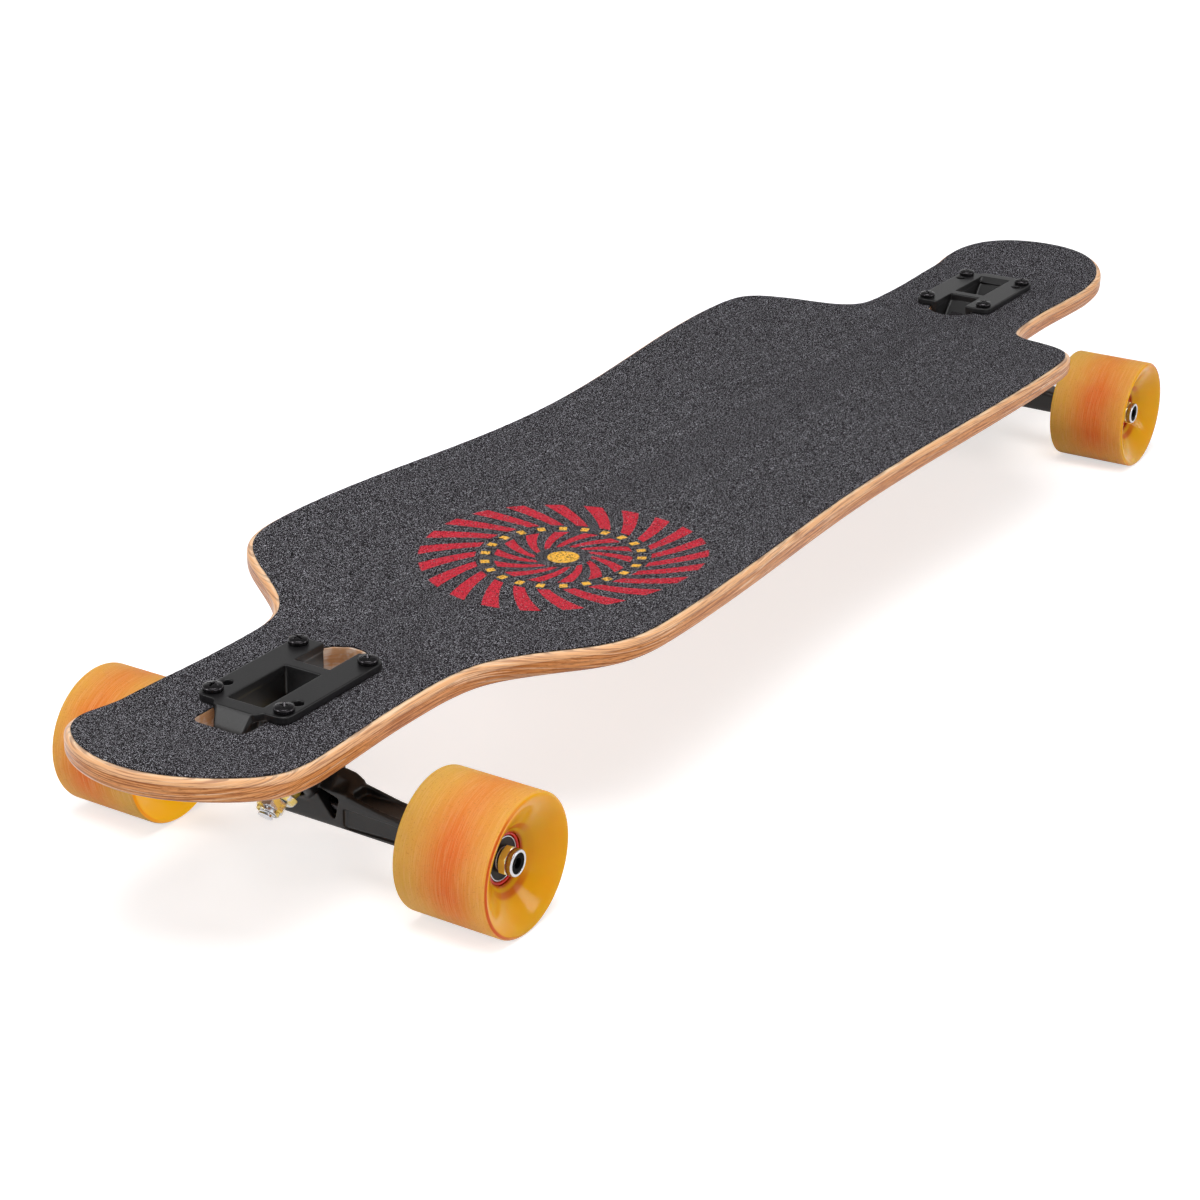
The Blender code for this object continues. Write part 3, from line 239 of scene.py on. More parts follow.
class TruckSizes(bpy.types.PropertyGroup):
    """Sizes of the castings and the hardware."""
    plate_cell: length("Baseplate cell", "Cell in which a baseplate is remade; a finer one keeps crisper corners",
                       0.5 * MM)
    hanger_cell: length("Hanger cell", "Cell in which a hanger is remade", 0.62 * MM)
    plate_corner: length("Plate corners", "Radius of a baseplate's outer corners", 1.6 * MM)
    head: length("Bolt head", "Radius of a mounting bolt's head", 5.0 * MM)
    pitch: length("Thread pitch", "Distance between two turns of a kingpin or axle thread", 1.06 * MM)
    bolt_pitch: length("Bolt pitch", "Distance between two turns of a mounting bolt's thread", 0.8 * MM)
    collar: length("Nut collar", "Height of the round end of an axle nut", 3.3 * MM)


class WheelSizes(bpy.types.PropertyGroup):
    """Sizes of the wheels."""
    edge: length("Tread edge", "Radius between tread and face", 1.8 * MM)
    dish: length("Dish", "How far the hub lies inside the lip", 12.4 * MM)
    sides: bpy.props.IntProperty(name="Steps", description="Steps round a wheel", default=128, min=32)


class BoardColours(bpy.types.PropertyGroup):
    """Colours of the finishes."""
    veneer: tint("Veneer", "Top and bottom veneer", 222, 172, 130)
    ply_light: tint("Light ply", "Lighter inner plies", 206, 130, 68)
    ply_dark: tint("Dark ply", "Darker inner plies", 138, 74, 36)
    grip: tint("Grit", "Grip between its bright grains", 28, 26, 28)
    badge_red: tint("Rosette bars", "Bars of the printed rosette", 205, 50, 65)
    badge_yellow: tint("Rosette dots", "Dots of the printed rosette", 250, 190, 75)
    casting: tint("Casting", "Satin black coat of the castings", 17, 16, 17)
    steel: tint("Bright steel", "Kingpins, speed rings and spacers, and the silver of the plating", 214, 216, 220)
    bushing: tint("Bushing", "Olive urethane of the bushings", 172, 150, 18)
    face: tint("Wheel face", "Glossy amber urethane", 220, 158, 8)
    tread: tint("Wheel tread", "Ground urethane of the tread", 216, 156, 70)
    # The tread glow is painted light: the colour of light shining through the urethane off the red core.
    glow: tint("Tread glow", "Middle of the tread, where the core shows through", 220, 88, 34)
    core: tint("Core", "Red core of a wheel", 206, 30, 10)


class StageSettings(bpy.types.PropertyGroup):
    """Camera and light."""
    azimuth: bpy.props.FloatProperty(name="Azimuth", description="Direction of the camera round the board",
                                     default=math.radians(32.689), subtype="ANGLE")
    elevation: bpy.props.FloatProperty(name="Elevation", description="Height angle of the camera",
                                       default=math.radians(22.809), subtype="ANGLE")
    roll: bpy.props.FloatProperty(name="Roll", description="Turn of the camera about its own line of sight",
                                  default=math.radians(0.32), subtype="ANGLE")
    place: bpy.props.FloatVectorProperty(name="Place", description="Where the camera stands", size=3,
                                         default=(1.25927, 0.71015, 0.61815), subtype="TRANSLATION",
                                         unit="LENGTH")
    focal: bpy.props.FloatProperty(name="Focal length", description="Lens for a sensor 36 mm wide",
                                   default=80.0, min=1)
    surround: bpy.props.FloatProperty(name="Surround light", description="Even light from all round",
                                      default=0.34, min=0)
    key: bpy.props.FloatProperty(name="Key light", description="Power of the large lamp overhead",
                                 default=36.0, min=0, unit="POWER")


# Surfaces

def lattice(rows, columns, wrap_rows):
    """Faces of a grid: corner (i, j) joins (i, j+1), (i+1, j+1) and (i+1, j).

    The columns always wrap round; the rows do where the last one closes on the first.
    """
    down, along = np.meshgrid(np.arange(rows - (not wrap_rows)), np.arange(columns), indexing="ij")
    down, along = down.ravel(), along.ravel()
    below, beside = (down + 1) % rows, (along + 1) % columns
    return np.stack((down * columns + along, down * columns + beside,
                     below * columns + beside, below * columns + along), axis=1)


def tidied(mesh, angle=35.0, turn_out=True):
    """Merge doubles at seams and poles, face outwards, and shade smooth except across sharp corners."""
    work = bmesh.new()
    work.from_mesh(mesh)
    bmesh.ops.remove_doubles(work, verts=work.verts, dist=MERGE)
    bmesh.ops.dissolve_degenerate(work, edges=work.edges, dist=THIN)
    if turn_out:
        bmesh.ops.recalc_face_normals(work, faces=work.faces)
    work.to_mesh(mesh)
    work.free()
    mesh.shade_smooth()
    mesh.set_sharp_from_angle(angle=math.radians(angle))
    return mesh


def skin(name, points, wrap_rows=False, angle=35.0):
    """Mesh a grid of points, four corners to a face."""
    rows, columns = points.shape[:2]
    mesh = bpy.data.meshes.new(name)
    mesh.from_pydata(points.reshape(-1, 3).tolist(), [], lattice(rows, columns, wrap_rows).tolist())
    return tidied(mesh, angle)


def placed(points, base):
    """Points carried by a frame: its turn, then its shift."""
    base = np.array(base)
    return points @ base[:3, :3].T + base[:3, 3]


def angles(steps):
    """Even angles of one full turn."""
    return np.arange(steps) * (2 * math.pi / steps)


def softened(corners, radii, steps=5):
    """Round the corners of an outline.

    At a corner with half angle h the arc's ends lie radius / tan h along both sides, its middle lies
    radius / sin h along their bisector, and its points swing evenly from one end to the other.
    """
    here = np.array(corners, float)
    radii = np.broadcast_to(np.array(radii, float), len(here))[:, None]
    before = np.roll(here, 1, axis=0) - here
    after = np.roll(here, -1, axis=0) - here
    before /= np.linalg.norm(before, axis=1, keepdims=True)
    after /= np.linalg.norm(after, axis=1, keepdims=True)
    half = np.arccos(np.clip((before * after).sum(axis=1, keepdims=True), -0.999999, 0.999999)) / 2
    bisector = before + after
    bisector /= np.maximum(np.linalg.norm(bisector, axis=1, keepdims=True), 1e-9)
    centre = here + bisector * radii / np.sin(half)
    first = here + before * radii / np.tan(half) - centre
    last = here + after * radii / np.tan(half) - centre
    sweep = (math.pi - 2 * half)[:, None]
    share = np.linspace(0, 1, steps + 1)[None, :, None]
    arc = (np.sin((1 - share) * sweep) * first[:, None] + np.sin(share * sweep) * last[:, None]) / np.sin(sweep)
    return (centre[:, None] + arc).reshape(-1, 2)


def ring_profile(corners, radii, steps=5):
    """A closed profile of (radius, height) corners with rounded corners, as two columns."""
    profile = softened(corners, radii, steps)
    return profile[:, :1], profile[:, 1:]


def capped_profile(corners, radii, steps=5):
    """As ring_profile, for a profile that starts and ends on the axis."""
    profile = softened(corners, (0, *radii, 0), steps)
    return profile[:, :1], profile[:, 1:]


def spun(name, radius, height, base, sides=96, angle=35.0):
    """Carry a profile round Z: (radius cos a, radius sin a, height) at each angle a, then by a frame.

    The radius may change with the angle. The grid closes on itself unless it ends on the axis.
    """
    around = angles(sides)[None, :]
    radius, height = np.broadcast_arrays(radius, height + 0 * around)
    points = np.stack((radius * np.cos(around), radius * np.sin(around), height), axis=-1)
    return skin(name, placed(points, base), wrap_rows=bool(radius.min() > 1e-9), angle=angle)


def prism(name, outline, low, high, base=Matrix()):
    """Carry a closed outline straight up; both ends close on the outline's middle."""
    outline = np.array(outline)
    middle = np.broadcast_to(outline.mean(axis=0), outline.shape)
    rows = [np.column_stack((flat, np.full(len(flat), level)))
            for flat, level in ((middle, low), (outline, low), (outline, high), (middle, high))]
    return skin(name, placed(np.array(rows), base))


def hexagon(flats, around):
    """Radius of a hexagon with flats facing +X: half the flats over the cosine of the angle to a flat."""
    sixth = math.pi / 3
    return flats / 2 / np.cos((around + sixth / 2) % sixth - sixth / 2)


def threaded(radius, height, around, pitch, low, high):
    """Radius of a thread: less a ridge that climbs one pitch a turn, faded over one pitch at both ends."""
    ridge = np.abs(2 * ((height / pitch - around / (2 * math.pi)) % 1) - 1)
    fade = np.clip((height - low) / pitch, 0, 1) * np.clip((high - height) / pitch, 0, 1)
    return radius - THREAD_DEPTH * pitch * ridge * fade


def joined(name, *meshes):
    """One mesh of several."""
    work = bmesh.new()
    for mesh in meshes:
        work.from_mesh(mesh)
        bpy.data.meshes.remove(mesh)
    result = bpy.data.meshes.new(name)
    work.to_mesh(result)
    work.free()
    return result


def reworked(mesh, *steps):
    """Put modifiers on a mesh, given as (type, settings), and take the result."""
    thing = bpy.data.objects.new(mesh.name, mesh)
    bpy.context.scene.collection.objects.link(thing)
    for kind, settings in steps:
        step = thing.modifiers.new(kind.title(), kind)
        for key, value in settings.items():
            setattr(step, key, value)
    shape = thing.evaluated_get(bpy.context.evaluated_depsgraph_get())
    result = bpy.data.meshes.new_from_object(shape)
    result.name = mesh.name
    bpy.data.objects.remove(thing)
    return result


def carved(mesh, *cutters):
    """Cut one mesh after another out of a mesh."""
    for cutter in cutters:
        tool = bpy.data.objects.new("cutter", cutter)
        bpy.context.scene.collection.objects.link(tool)
        mesh = reworked(mesh, ("BOOLEAN", {"operation": "DIFFERENCE", "solver": "EXACT", "object": tool}))
        bpy.data.objects.remove(tool)
        if not mesh.polygons:
            raise ValueError(f"nothing is left of {mesh.name}")
    return tidied(mesh, turn_out=False)


def untwinned(mesh):
    """Triangles, less the thin pairs that lie on each other where two cut faces share nearly straight corners."""
    work = bmesh.new()
    work.from_mesh(mesh)
    bmesh.ops.triangulate(work, faces=work.faces)
    same = {}
    for face in work.faces:
        same.setdefault(frozenset(face.verts), []).append(face)
    twins = [face for group in same.values() if len(group) > 1 for face in group]
    bmesh.ops.delete(work, geom=twins, context="FACES")
    work.to_mesh(mesh)
    work.free()
    return tidied(mesh, turn_out=False)


def piece(name, mesh, finish, body, slot, *nodes):
    """Put a finished mesh in the scene, in place of its packed solids, on a body if it has just one."""
    thing = bpy.data.objects.new(name, mesh)
    bpy.context.scene.collection.objects.link(thing)
    mesh.materials.clear()
    mesh.materials.append(finish)
    if body:
        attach(thing, body)
    if nodes:
        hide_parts(*nodes)
    return thing


# Frames

def truck_frame(sign):
    """X runs outboard from the middle of an axle, Z runs up."""
    return Matrix.Translation((sign * TRUCK_X, 0, AXLE_Z)) @ Matrix.Diagonal((sign, sign, 1, 1))


def kingpin_frame(sign):
    """Z runs up a kingpin from its threaded end."""
    foot = Matrix.Translation((KINGPIN_FOOT[0], 0, KINGPIN_FOOT[1]))
    return truck_frame(sign) @ foot @ Matrix.Rotation(-KINGPIN_ANGLE, 4, "Y")


def pivot_frame(sign):
    """Z runs down the steering axis from the middle of the bushing ring."""
    centre = kingpin_frame(sign) @ Matrix.Translation((0, 0, RING_CENTRE))
    turn = Matrix.Rotation(KINGPIN_ANGLE - math.pi / 2 - PIVOT_ANGLE, 4, "Y")
    return centre @ turn


def axle_frame(sign, side=1, shift=0.0):
    """Z runs out along an axle towards one side, from a distance off its middle; X stays level."""
    turn = Matrix.Rotation(-math.pi / 2 * side, 4, "X")
    return Matrix.Translation((sign * TRUCK_X, side * shift, AXLE_Z)) @ turn


def bolt_places(sign):
    """World places of the four mounting bolts of a truck."""
    half_x, half_y = BOLT_SPACING[0] / 2, BOLT_SPACING[1] / 2
    return [(sign * (TRUCK_X + PATTERN_X + along * half_x), sign * across * half_y)
            for along, across in ((1, 1), (1, -1), (-1, -1), (-1, 1))]


# Deck and grip

def eased(value):
    """A soft step from 0 to 1: 3 v squared less 2 v cubed."""
    value = np.clip(value, 0, 1)
    return value * value * (3 - 2 * value)


def grip_half_width(x):
    """Half width of the grip.

    The waist swells by half a cosine to the platform, a logistic step drops it to the neck, the tip swells
    a little, and a quarter ellipse closes it.
    """
    along = np.abs(x)
    share = (1 - np.cos(np.pi * np.minimum(along / PLATFORM_X, 1))) / 2
    width = WAIST_HALF + (PLATFORM_HALF - WAIST_HALF) * share
    width = width - (PLATFORM_HALF - NECK_HALF) / (1 + np.exp((NECK_X - along) / NECK_SPREAD))
    width = width + (TIP_HALF - NECK_HALF) * eased((along - TIP_SWELL_X) / TIP_SWELL_LENGTH)
    end = np.clip((along - CAP_X) / CAP_LENGTH, 0, 1)
    return width * np.sqrt(1 - end * end)


def grip_height(x, y):
    """Height of the grip's top: a parabola across, whose depth fades to the trucks, and lifted tips."""
    along = np.abs(x)
    depth = CONCAVE_WAIST + (CONCAVE_PLATFORM - CONCAVE_WAIST) * eased(along / PLATFORM_X)
    depth = depth * (1 - eased((along - CONCAVE_END) / (FLAT_START - CONCAVE_END)))
    lift = TIP_LIFT * eased((along - FLAT_END) / TIP_LIFT_LENGTH)
    return GRIP_TOP + depth * (y / CONCAVE_WIDTH) ** 2 + lift


def plan(step):
    """Even points round the grip's edge with their outward directions.

    One half of the edge is sampled at x = reach sin t, its arc length is summed, and places are read off it
    at even lengths; the other half mirrors it.
    """
    reach, samples = CAP_X + CAP_LENGTH, 12001
    x = reach * np.sin(np.linspace(math.pi / 2, -math.pi / 2, samples))
    y = grip_half_width(x)
    y[0] = y[-1] = 0
    run = np.concatenate(((0,), np.cumsum(np.hypot(np.diff(x), np.diff(y)))))
    even = np.linspace(0, run[-1], 2 * round(run[-1] / step / 2) + 1)
    x, y = np.interp(even, run, x), np.interp(even, run, y)
    edge = np.column_stack((np.concatenate((x, x[-2:0:-1])), np.concatenate((y, -y[-2:0:-1]))))
    tangent = np.roll(edge, -1, axis=0) - np.roll(edge, 1, axis=0)
    out = np.column_stack((-tangent[:, 1], tangent[:, 0]))
    out /= np.linalg.norm(out, axis=1, keepdims=True)
    return edge, out * np.sign((out * edge).sum(axis=1, keepdims=True).mean())


def board_shell(name, step, share, out, down, wobble=0.0):
    """A closed shell over the deck's plan, one ring for each row.

    A ring lies at a share of the way from the spine to the grip's edge, moved out by a distance along the
    edge's own direction, and lies a depth below the height of the grip there. The wobble, three sines of the
    place round the edge, makes the outer rings ragged.
    """
    edge, away = plan(step)
    spine_end = CAP_X - 60 * MM
    spine = np.column_stack((np.clip(edge[:, 0], -spine_end, spine_end), 0 * edge[:, 1]))
    share, out, down = (np.array(part, float)[:, None] for part in (share, out, down))
    count = np.arange(len(edge)) * 1.0
    ragged = wobble * (np.sin(count * 1.9) + np.sin(count * 0.83 + 1) + np.sin(count * 3.7 + 2)) / 3
    reach = (out + ragged * (share >= 1))[..., None] * away
    flat = spine + share[..., None] * (edge - spine) + reach
    level = grip_height(flat[..., 0], flat[..., 1]) - down
    return skin(name, np.concatenate((flat, level[..., None]), axis=-1), angle=30)


def slot_outline(sign):
    """The opening that a truck drops through: round inboard, square with soft corners outboard."""
    inboard, outboard = PATTERN_X - SLOT_INBOARD, PATTERN_X + SLOT_OUTBOARD
    corners = ((inboard, SLOT_HALF), (outboard, SLOT_HALF), (outboard, -SLOT_HALF), (inboard, -SLOT_HALF))
    round_end = SLOT_HALF - 0.01 * MM
    flat = softened(corners, (round_end, SLOT_CORNER, SLOT_CORNER, round_end), steps=16)
    return flat * sign + np.array((sign * TRUCK_X, 0))


def truck_openings(border=0.0):
    """One cutter for both slots, wider by a border and a slight raggedness, and the eight bolt holes."""
    low, high = GRIP_TOP - 30 * MM, GRIP_TOP + 30 * MM
    parts = []
    for _, sign in ENDS:
        flat = slot_outline(sign)
        middle = np.array((sign * TRUCK_X, 0))
        turn = np.arctan2(*(flat - middle).T)
        ragged = 0.3 * (np.sin(turn * 37) + np.sin(turn * 23 + 1))
        away = flat - middle
        away /= np.linalg.norm(away, axis=1, keepdims=True)
        parts.append(prism("slot", flat + away * (border * (1 + ragged))[:, None], low, high))
        for x, y in bolt_places(sign):
            hole = np.column_stack((np.cos(angles(32)), np.sin(angles(32)))) * BOLT_HOLE
            parts.append(prism("hole", hole + np.array((x, y)), low, high))
    return joined("openings", *parts)


def deck_mesh(sizes):
    """The plywood deck: quarter rounds along its rail, cut out for the trucks.

    Rings run from the spine over the top, down the rail and back below: a ring of the rail at angle a lies
    rail sin a out and rail (1 - cos a) down.
    """
    quarter = np.linspace(0, math.pi / 2, 7)
    inner = np.linspace(0, 1, 9)
    under = np.linspace(1, 0, 13)
    flat = DECK_BORDER - sizes.rail
    round_out, round_down = flat + sizes.rail * np.sin(quarter), sizes.rail * (1 - np.cos(quarter))
    wall = np.linspace(0, 1, 4)[1:-1] * (DECK_THICKNESS - 2 * sizes.rail) + sizes.rail
    share = np.concatenate((inner, np.ones(2 * len(quarter) + len(wall)), under))
    out = np.concatenate((flat * inner, round_out, np.full(len(wall), DECK_BORDER), round_out[::-1],
                          flat * under))
    down = np.concatenate((0 * inner, round_down, wall, DECK_THICKNESS - round_down[::-1],
                           0 * under + DECK_THICKNESS)) + DECK_DROP
    return untwinned(carved(board_shell("deck_plywood", sizes.column, share, out, down), truck_openings()))


def grip_mesh(sizes):
    """The grip: a thin sheet with a worn, slightly ragged edge, cut out with the deck."""
    inner = np.linspace(0, 1, 17)
    under = np.linspace(1, 0, 5)
    share = np.concatenate((inner[:-1], (1, 1, 1, 1), under))
    out = np.concatenate((0 * inner[:-1], (-0.35 * MM, -0.1 * MM, 0, 0), 0 * under))
    down = np.concatenate((0 * inner[:-1], (0, 0.08 * MM, 0.3 * MM, GRIP_THICKNESS),
                           0 * under + GRIP_THICKNESS))
    shell = board_shell("grip_sheet", sizes.column, share, out, down, wobble=0.16 * MM)
    return untwinned(carved(shell, truck_openings(0.7 * MM)))


# Castings

def packed_copy(node):
    """A packed solid's mesh with its loose triangles merged."""
    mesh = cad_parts[node].data.copy()
    work = bmesh.new()
    work.from_mesh(mesh)
    bmesh.ops.remove_doubles(work, verts=work.verts, dist=0.001 * MM)
    work.to_mesh(mesh)
    work.free()
    return mesh


def cast(name, mesh, cell, passes):
    """Remake a joined body in small even cells and ease it, which gives it a casting's soft corners."""
    mesh = reworked(mesh, ("REMESH", {"mode": "VOXEL", "voxel_size": cell, "use_smooth_shade": True}),
                    ("SMOOTH", {"factor": 0.5, "iterations": passes}))
    mesh.name = name
    mesh.shade_smooth()
    return mesh


def bore(radius, low, high, base):
    """A plain round cutter."""
    profile = capped_profile(((0, high), (radius, high), (radius, low), (0, low)), (0, 0), steps=1)
    return spun("bore", *profile, base, 64)


def baseplate_mesh(end, sign, sizes):
    """The baseplate: round bores cut in the packed casting, a round boss and pivot block added."""
    pin, pivot, truck = kingpin_frame(sign), pivot_frame(sign), truck_frame(sign)
    low, high = PLATE_TOP - 9 * MM, PLATE_TOP + PAST
    holes = [bore(BOLT_HOLE, low, high, Matrix.Translation((x, y, 0))) for x, y in bolt_places(sign)]
    spare = TRUCK_X + PATTERN_X + BOLT_SPACING[0] / 2 - SPARE_HOLE_STEP
    holes += [bore(SPARE_HOLE, low, high, Matrix.Translation((sign * spare, across * BOLT_SPACING[1] / 2, 0)))
              for across in (1, -1)]
    cutter = joined("bores", *holes, bore(PIN_BORE, BOSS_FACE - PAST, KINGPIN_HEAD + PAST, pin),
                    bore(CUP_SEAT, 28 * MM, CUP_FLOOR, pivot))
    soft = sizes.plate_corner
    side_pockets, ears = [], []
    for across in (1, -1):
        for x, way in PLATE_ENDS:
            y = across * PLATE_HALF
            inner_x, inner_y = x - way * EAR, y - across * EAR
            corner = ((inner_x, y), (x, y), (x, inner_y), (inner_x, inner_y))
            ears.append(prism("ear", softened(corner, (0, soft, 0, 0), 8), *PLATE_LEVELS, truck))
        ears.append(prism("cheek", np.array(CHEEK) * (MM, across * MM), *CHEEK_LEVELS, truck))
        upright = truck @ Matrix(((1, 0, 0, 0), (0, 0, across, 0), (0, 1, 0, 0), (0, 0, 0, 1)))
        side_pockets.append(prism("pocket", softened(np.array(LEG_POCKET) * MM, 2 * MM), LEG_WEB, LEG_CLEAR,
                                  upright))
    upright = truck @ Matrix(((1, 0, 0, 0), (0, 0, 1, 0), (0, 1, 0, 0), (0, 0, 0, 1)))
    back = prism("back", softened(np.array(LEG_BACK) * MM, 1 * MM), -LEG_CLEAR, LEG_CLEAR, upright)
    body = carved(joined("plate", packed_copy(f"{end}_baseplate"), *ears), cutter, *side_pockets, back)
    boss_back, boss_bore = BOSS_FACE + 6 * MM, 4.6 * MM
    boss = spun("boss", *ring_profile(((12 * MM, BOSS_FACE), (12 * MM, boss_back), (boss_bore, boss_back),
                                       (boss_bore, BOSS_FACE)), (0.6 * MM, 0, 0, 0.4 * MM)), pin)
    mouth, outer, end_face = 33.5 * MM, 10.5 * MM, 47.5 * MM
    block = spun("block", *capped_profile(((0, CUP_FLOOR), (CUP_SEAT, CUP_FLOOR), (CUP_SEAT, mouth), (outer, mouth),
                                           (outer, end_face), (0, end_face)),
                                          (0, 0.5 * MM, 0.8 * MM, 1.5 * MM)), pivot)
    reach, floor = 40 * MM, -20.7 * MM
    foot = prism("foot", ((-70 * MM, -reach), (0, -reach), (0, reach), (-70 * MM, reach)),
                 floor - reach, floor, truck)
    return cast(f"{end}_plate_casting", joined("parts", body, boss, carved(block, foot)), sizes.plate_cell, 1)


def hanger_mesh(end, sign, sizes):
    """The hanger: the packed casting with a round bushing ring, pivot nose and axle shoulders added."""
    pin, pivot, along = kingpin_frame(sign), pivot_frame(sign), axle_frame(sign)
    axle_bore = bore(AXLE_BORE, -HANGER_HALF - PAST, HANGER_HALF + PAST, along)
    seat, top, bottom = BUSHING_SEAT, 56 * MM, -6 * MM
    spool = capped_profile(((0, top), (seat, top), (seat, WEB_HIGH), (WEB_BORE, WEB_HIGH), (WEB_BORE, WEB_LOW),
                            (seat, WEB_LOW), (seat, bottom), (0, bottom)), (0,) * 6, steps=1)
    recesses = [spun("spool", *spool, pin), axle_bore]
    for _, side in SIDES:
        front = truck_frame(sign) @ Matrix(((0, 0, 1, 0), (side, 0, 0, 0), (0, 1, 0, 0), (0, 0, 0, 1)))
        for outline, depth, soft in ((PANEL, PANEL_DEPTH, 1.2 * MM), (POCKET, POCKET_DEPTH, 0.8 * MM)):
            recesses.append(prism("recess", softened(np.array(outline) * MM, soft), BEAM_FRONT - depth,
                                  BEAM_FRONT + 4 * MM, front))
        recesses.append(prism("recess", np.array(YOKE_CUT) * MM, -40 * MM, 30 * MM, front))
    body = carved(packed_copy(f"{end}_hanger"), *recesses)
    low, high, rim, outer = WEB_LOW - RING_WALL, WEB_HIGH + RING_WALL, 2 * MM, RING_RADIUS
    ring = ring_profile(((seat, high), (outer - rim, high), (outer, high - rim), (outer, low + rim),
                         (outer - rim, low), (seat, low), (seat, WEB_LOW), (WEB_BORE, WEB_LOW),
                         (WEB_BORE, WEB_HIGH), (seat, WEB_HIGH)),
                        np.array((0.5, 0.8, 0.8, 0.8, 0.8, 0.5, 0.4, 0.5, 0.5, 0.4)) * MM)
    ring = carved(spun("ring", *ring, pin), bore(AXLE_BORE, -40 * MM, 40 * MM, along))
    nose = capped_profile(np.array(((0, 42.5), (5.3, 42.5), (5.3, 32.5), (7.5, 29), (8.5, 12.4), (0, 12.4))) * MM,
                          np.array((2.4, 1.5, 1.5, 0)) * MM)
    shoulder, inboard = 8 * MM, HANGER_HALF - 6 * MM
    profile = ring_profile(((shoulder, HANGER_HALF), (shoulder, inboard), (AXLE_BORE, inboard),
                            (AXLE_BORE, HANGER_HALF)), (0.8 * MM, 0, 0, 0.3 * MM))
    shoulders = [spun("shoulder", *profile, axle_frame(sign, side)) for _, side in SIDES]
    parts = joined("parts", body, ring, spun("nose", *nose, pivot), *shoulders)
    return cast(f"{end}_hanger_casting", parts, sizes.hanger_cell, 6)


# Hardware

def nut_mesh(name, flats, height, collar, bore_radius, base, collar_share=0.9):
    """A locknut from height 0 up, its round collar at the low end.

    The side's radius is the lesser of a hexagon and a cone at each end of the hexagon, which gives the
    curved chamfers; the collar is a rounded step. The two roundings of its rim shrink by one factor where
    the rim is too narrow for both.
    """
    around = angles(96)[None, :]
    corner = flats / 2 / math.cos(math.pi / 6)
    body = np.linspace(collar, height, 25)[::-1, None]
    ends = np.minimum(height - body, body - collar)
    side = np.minimum(hexagon(flats, around), corner - CHAMFER + CHAMFER_SLOPE * ends)
    rim, mouth = flats / 2 * collar_share, bore_radius + 0.14 * flats / 2
    fit = min(1, 0.85 * (rim - mouth) / (1.1 * MM))
    step = softened(((rim, collar), (rim, 0), (mouth, 0), (mouth - 0.1 * MM, 0.5 * collar),
                     (bore_radius, 0.6 * collar)),
                    np.array((0.2, 0.75 * fit, 0.35 * fit, 0.1, 0)) * MM)
    inner = np.array(((bore_radius, height - 0.5 * MM), (bore_radius + 0.5 * MM, height)))
    rest = np.concatenate((step, inner))
    radius = np.concatenate((side, np.broadcast_to(rest[:, :1], (len(rest), around.shape[1]))))
    return spun(name, radius, np.concatenate((body, rest[:, 1:])), base, 96, angle=25)


def rod_mesh(name, radius, low, high, threads, pitch, base):
    """A round rod with rounded ends and a thread between the two heights of each pair."""
    around, crown = angles(64)[None, :], 0.8 * MM
    top = softened(((0, high), (radius, high), (radius, high - 2 * crown)), (0, crown, 0))
    bottom = softened(((radius, low + 2 * crown), (radius, low), (0, low)), (0, crown, 0))
    levels = np.concatenate([np.arange(end, start, -pitch / 8) for start, end in threads])
    levels = levels[(levels < high - 2 * crown) & (levels > low + 2 * crown)]
    middle = np.column_stack((np.full(len(levels), radius), levels))
    profile = np.concatenate((top, middle, bottom))
    shape = profile[:, :1]
    for start, end in threads:
        shape = threaded(shape, profile[:, 1:], around, pitch, start, end)
    shape = np.where(profile[:, :1] < radius * 0.999, profile[:, :1], shape)
    return spun(name, shape, profile[:, 1:], base, 64, angle=40)


def head_mesh(name, base):
    """A kingpin's head: a hexagon whose top edge is cut by a cone."""
    around = angles(96)[None, :]
    level = np.linspace(HEAD_TALL, 0, 13)[:, None]
    corner = NUT_FLATS / 2 / math.cos(math.pi / 6)
    side = np.minimum(hexagon(NUT_FLATS, around), corner - CHAMFER + CHAMFER_SLOPE * (HEAD_TALL - level))
    end = np.zeros((1, around.shape[1]))
    radius = np.concatenate((end, side, end))
    height = np.concatenate(((HEAD_TALL,), level[:, 0], (0,)))[:, None]
    return spun(name, radius, height, base @ Matrix.Translation((0, 0, KINGPIN_HEAD)), 96, angle=25)


def washer_mesh(name, base):
    """A cup washer that opens upwards, pressed from sheet."""
    corners = np.array(((10.9, 3.0), (9.4, 0), (4.5, 0), (4.5, 1.2), (8.5, 1.2), (10.1, 3.0))) * MM
    return spun(name, *ring_profile(corners, np.array((0.3, 1.4, 0.2, 0.2, 0.7, 0.3)) * MM), base)


def bushing_mesh(name, height, taper, bore_low, bore_high, base):
    """A urethane bushing: straight at its upper end, tapered below to sit in a cup washer.

    Its bore widens upwards, so that it clears the kingpin when its upper end leans with the hanger. Its profile is
    read off at even steps of its length.
    """
    corners = np.array(((9.9, height), (9.9, taper), (7.8, 0), (4.6, 0), (4.6, bore_low), (7.6, bore_high),
                        (7.6, height))) * MM
    profile = softened(corners, np.array((1.1, 1.6, 0.7, 0.3, 0.3, 1, 0.3)) * MM, 8)
    closed = np.concatenate((profile, profile[:1]))
    run = np.concatenate(((0,), np.cumsum(np.linalg.norm(np.diff(closed, axis=0), axis=1))))
    places = np.unique(np.concatenate((run, np.arange(0, run[-1], 0.8 * MM))))[:-1]
    radius, level = (np.interp(places, run, column)[:, None] for column in closed.T)
    return spun(name, radius, level, base)


def cup_mesh(name, base):
    """The urethane cup round a pivot nose."""
    corners = np.array(((0, 45.2), (7.8, 45.2), (7.8, 33.8), (5.6, 33.8), (5.6, 42.8), (0, 42.8))) * MM
    return spun(name, *capped_profile(corners, np.array((0.8, 0.4, 0.5, 1.0)) * MM), base)


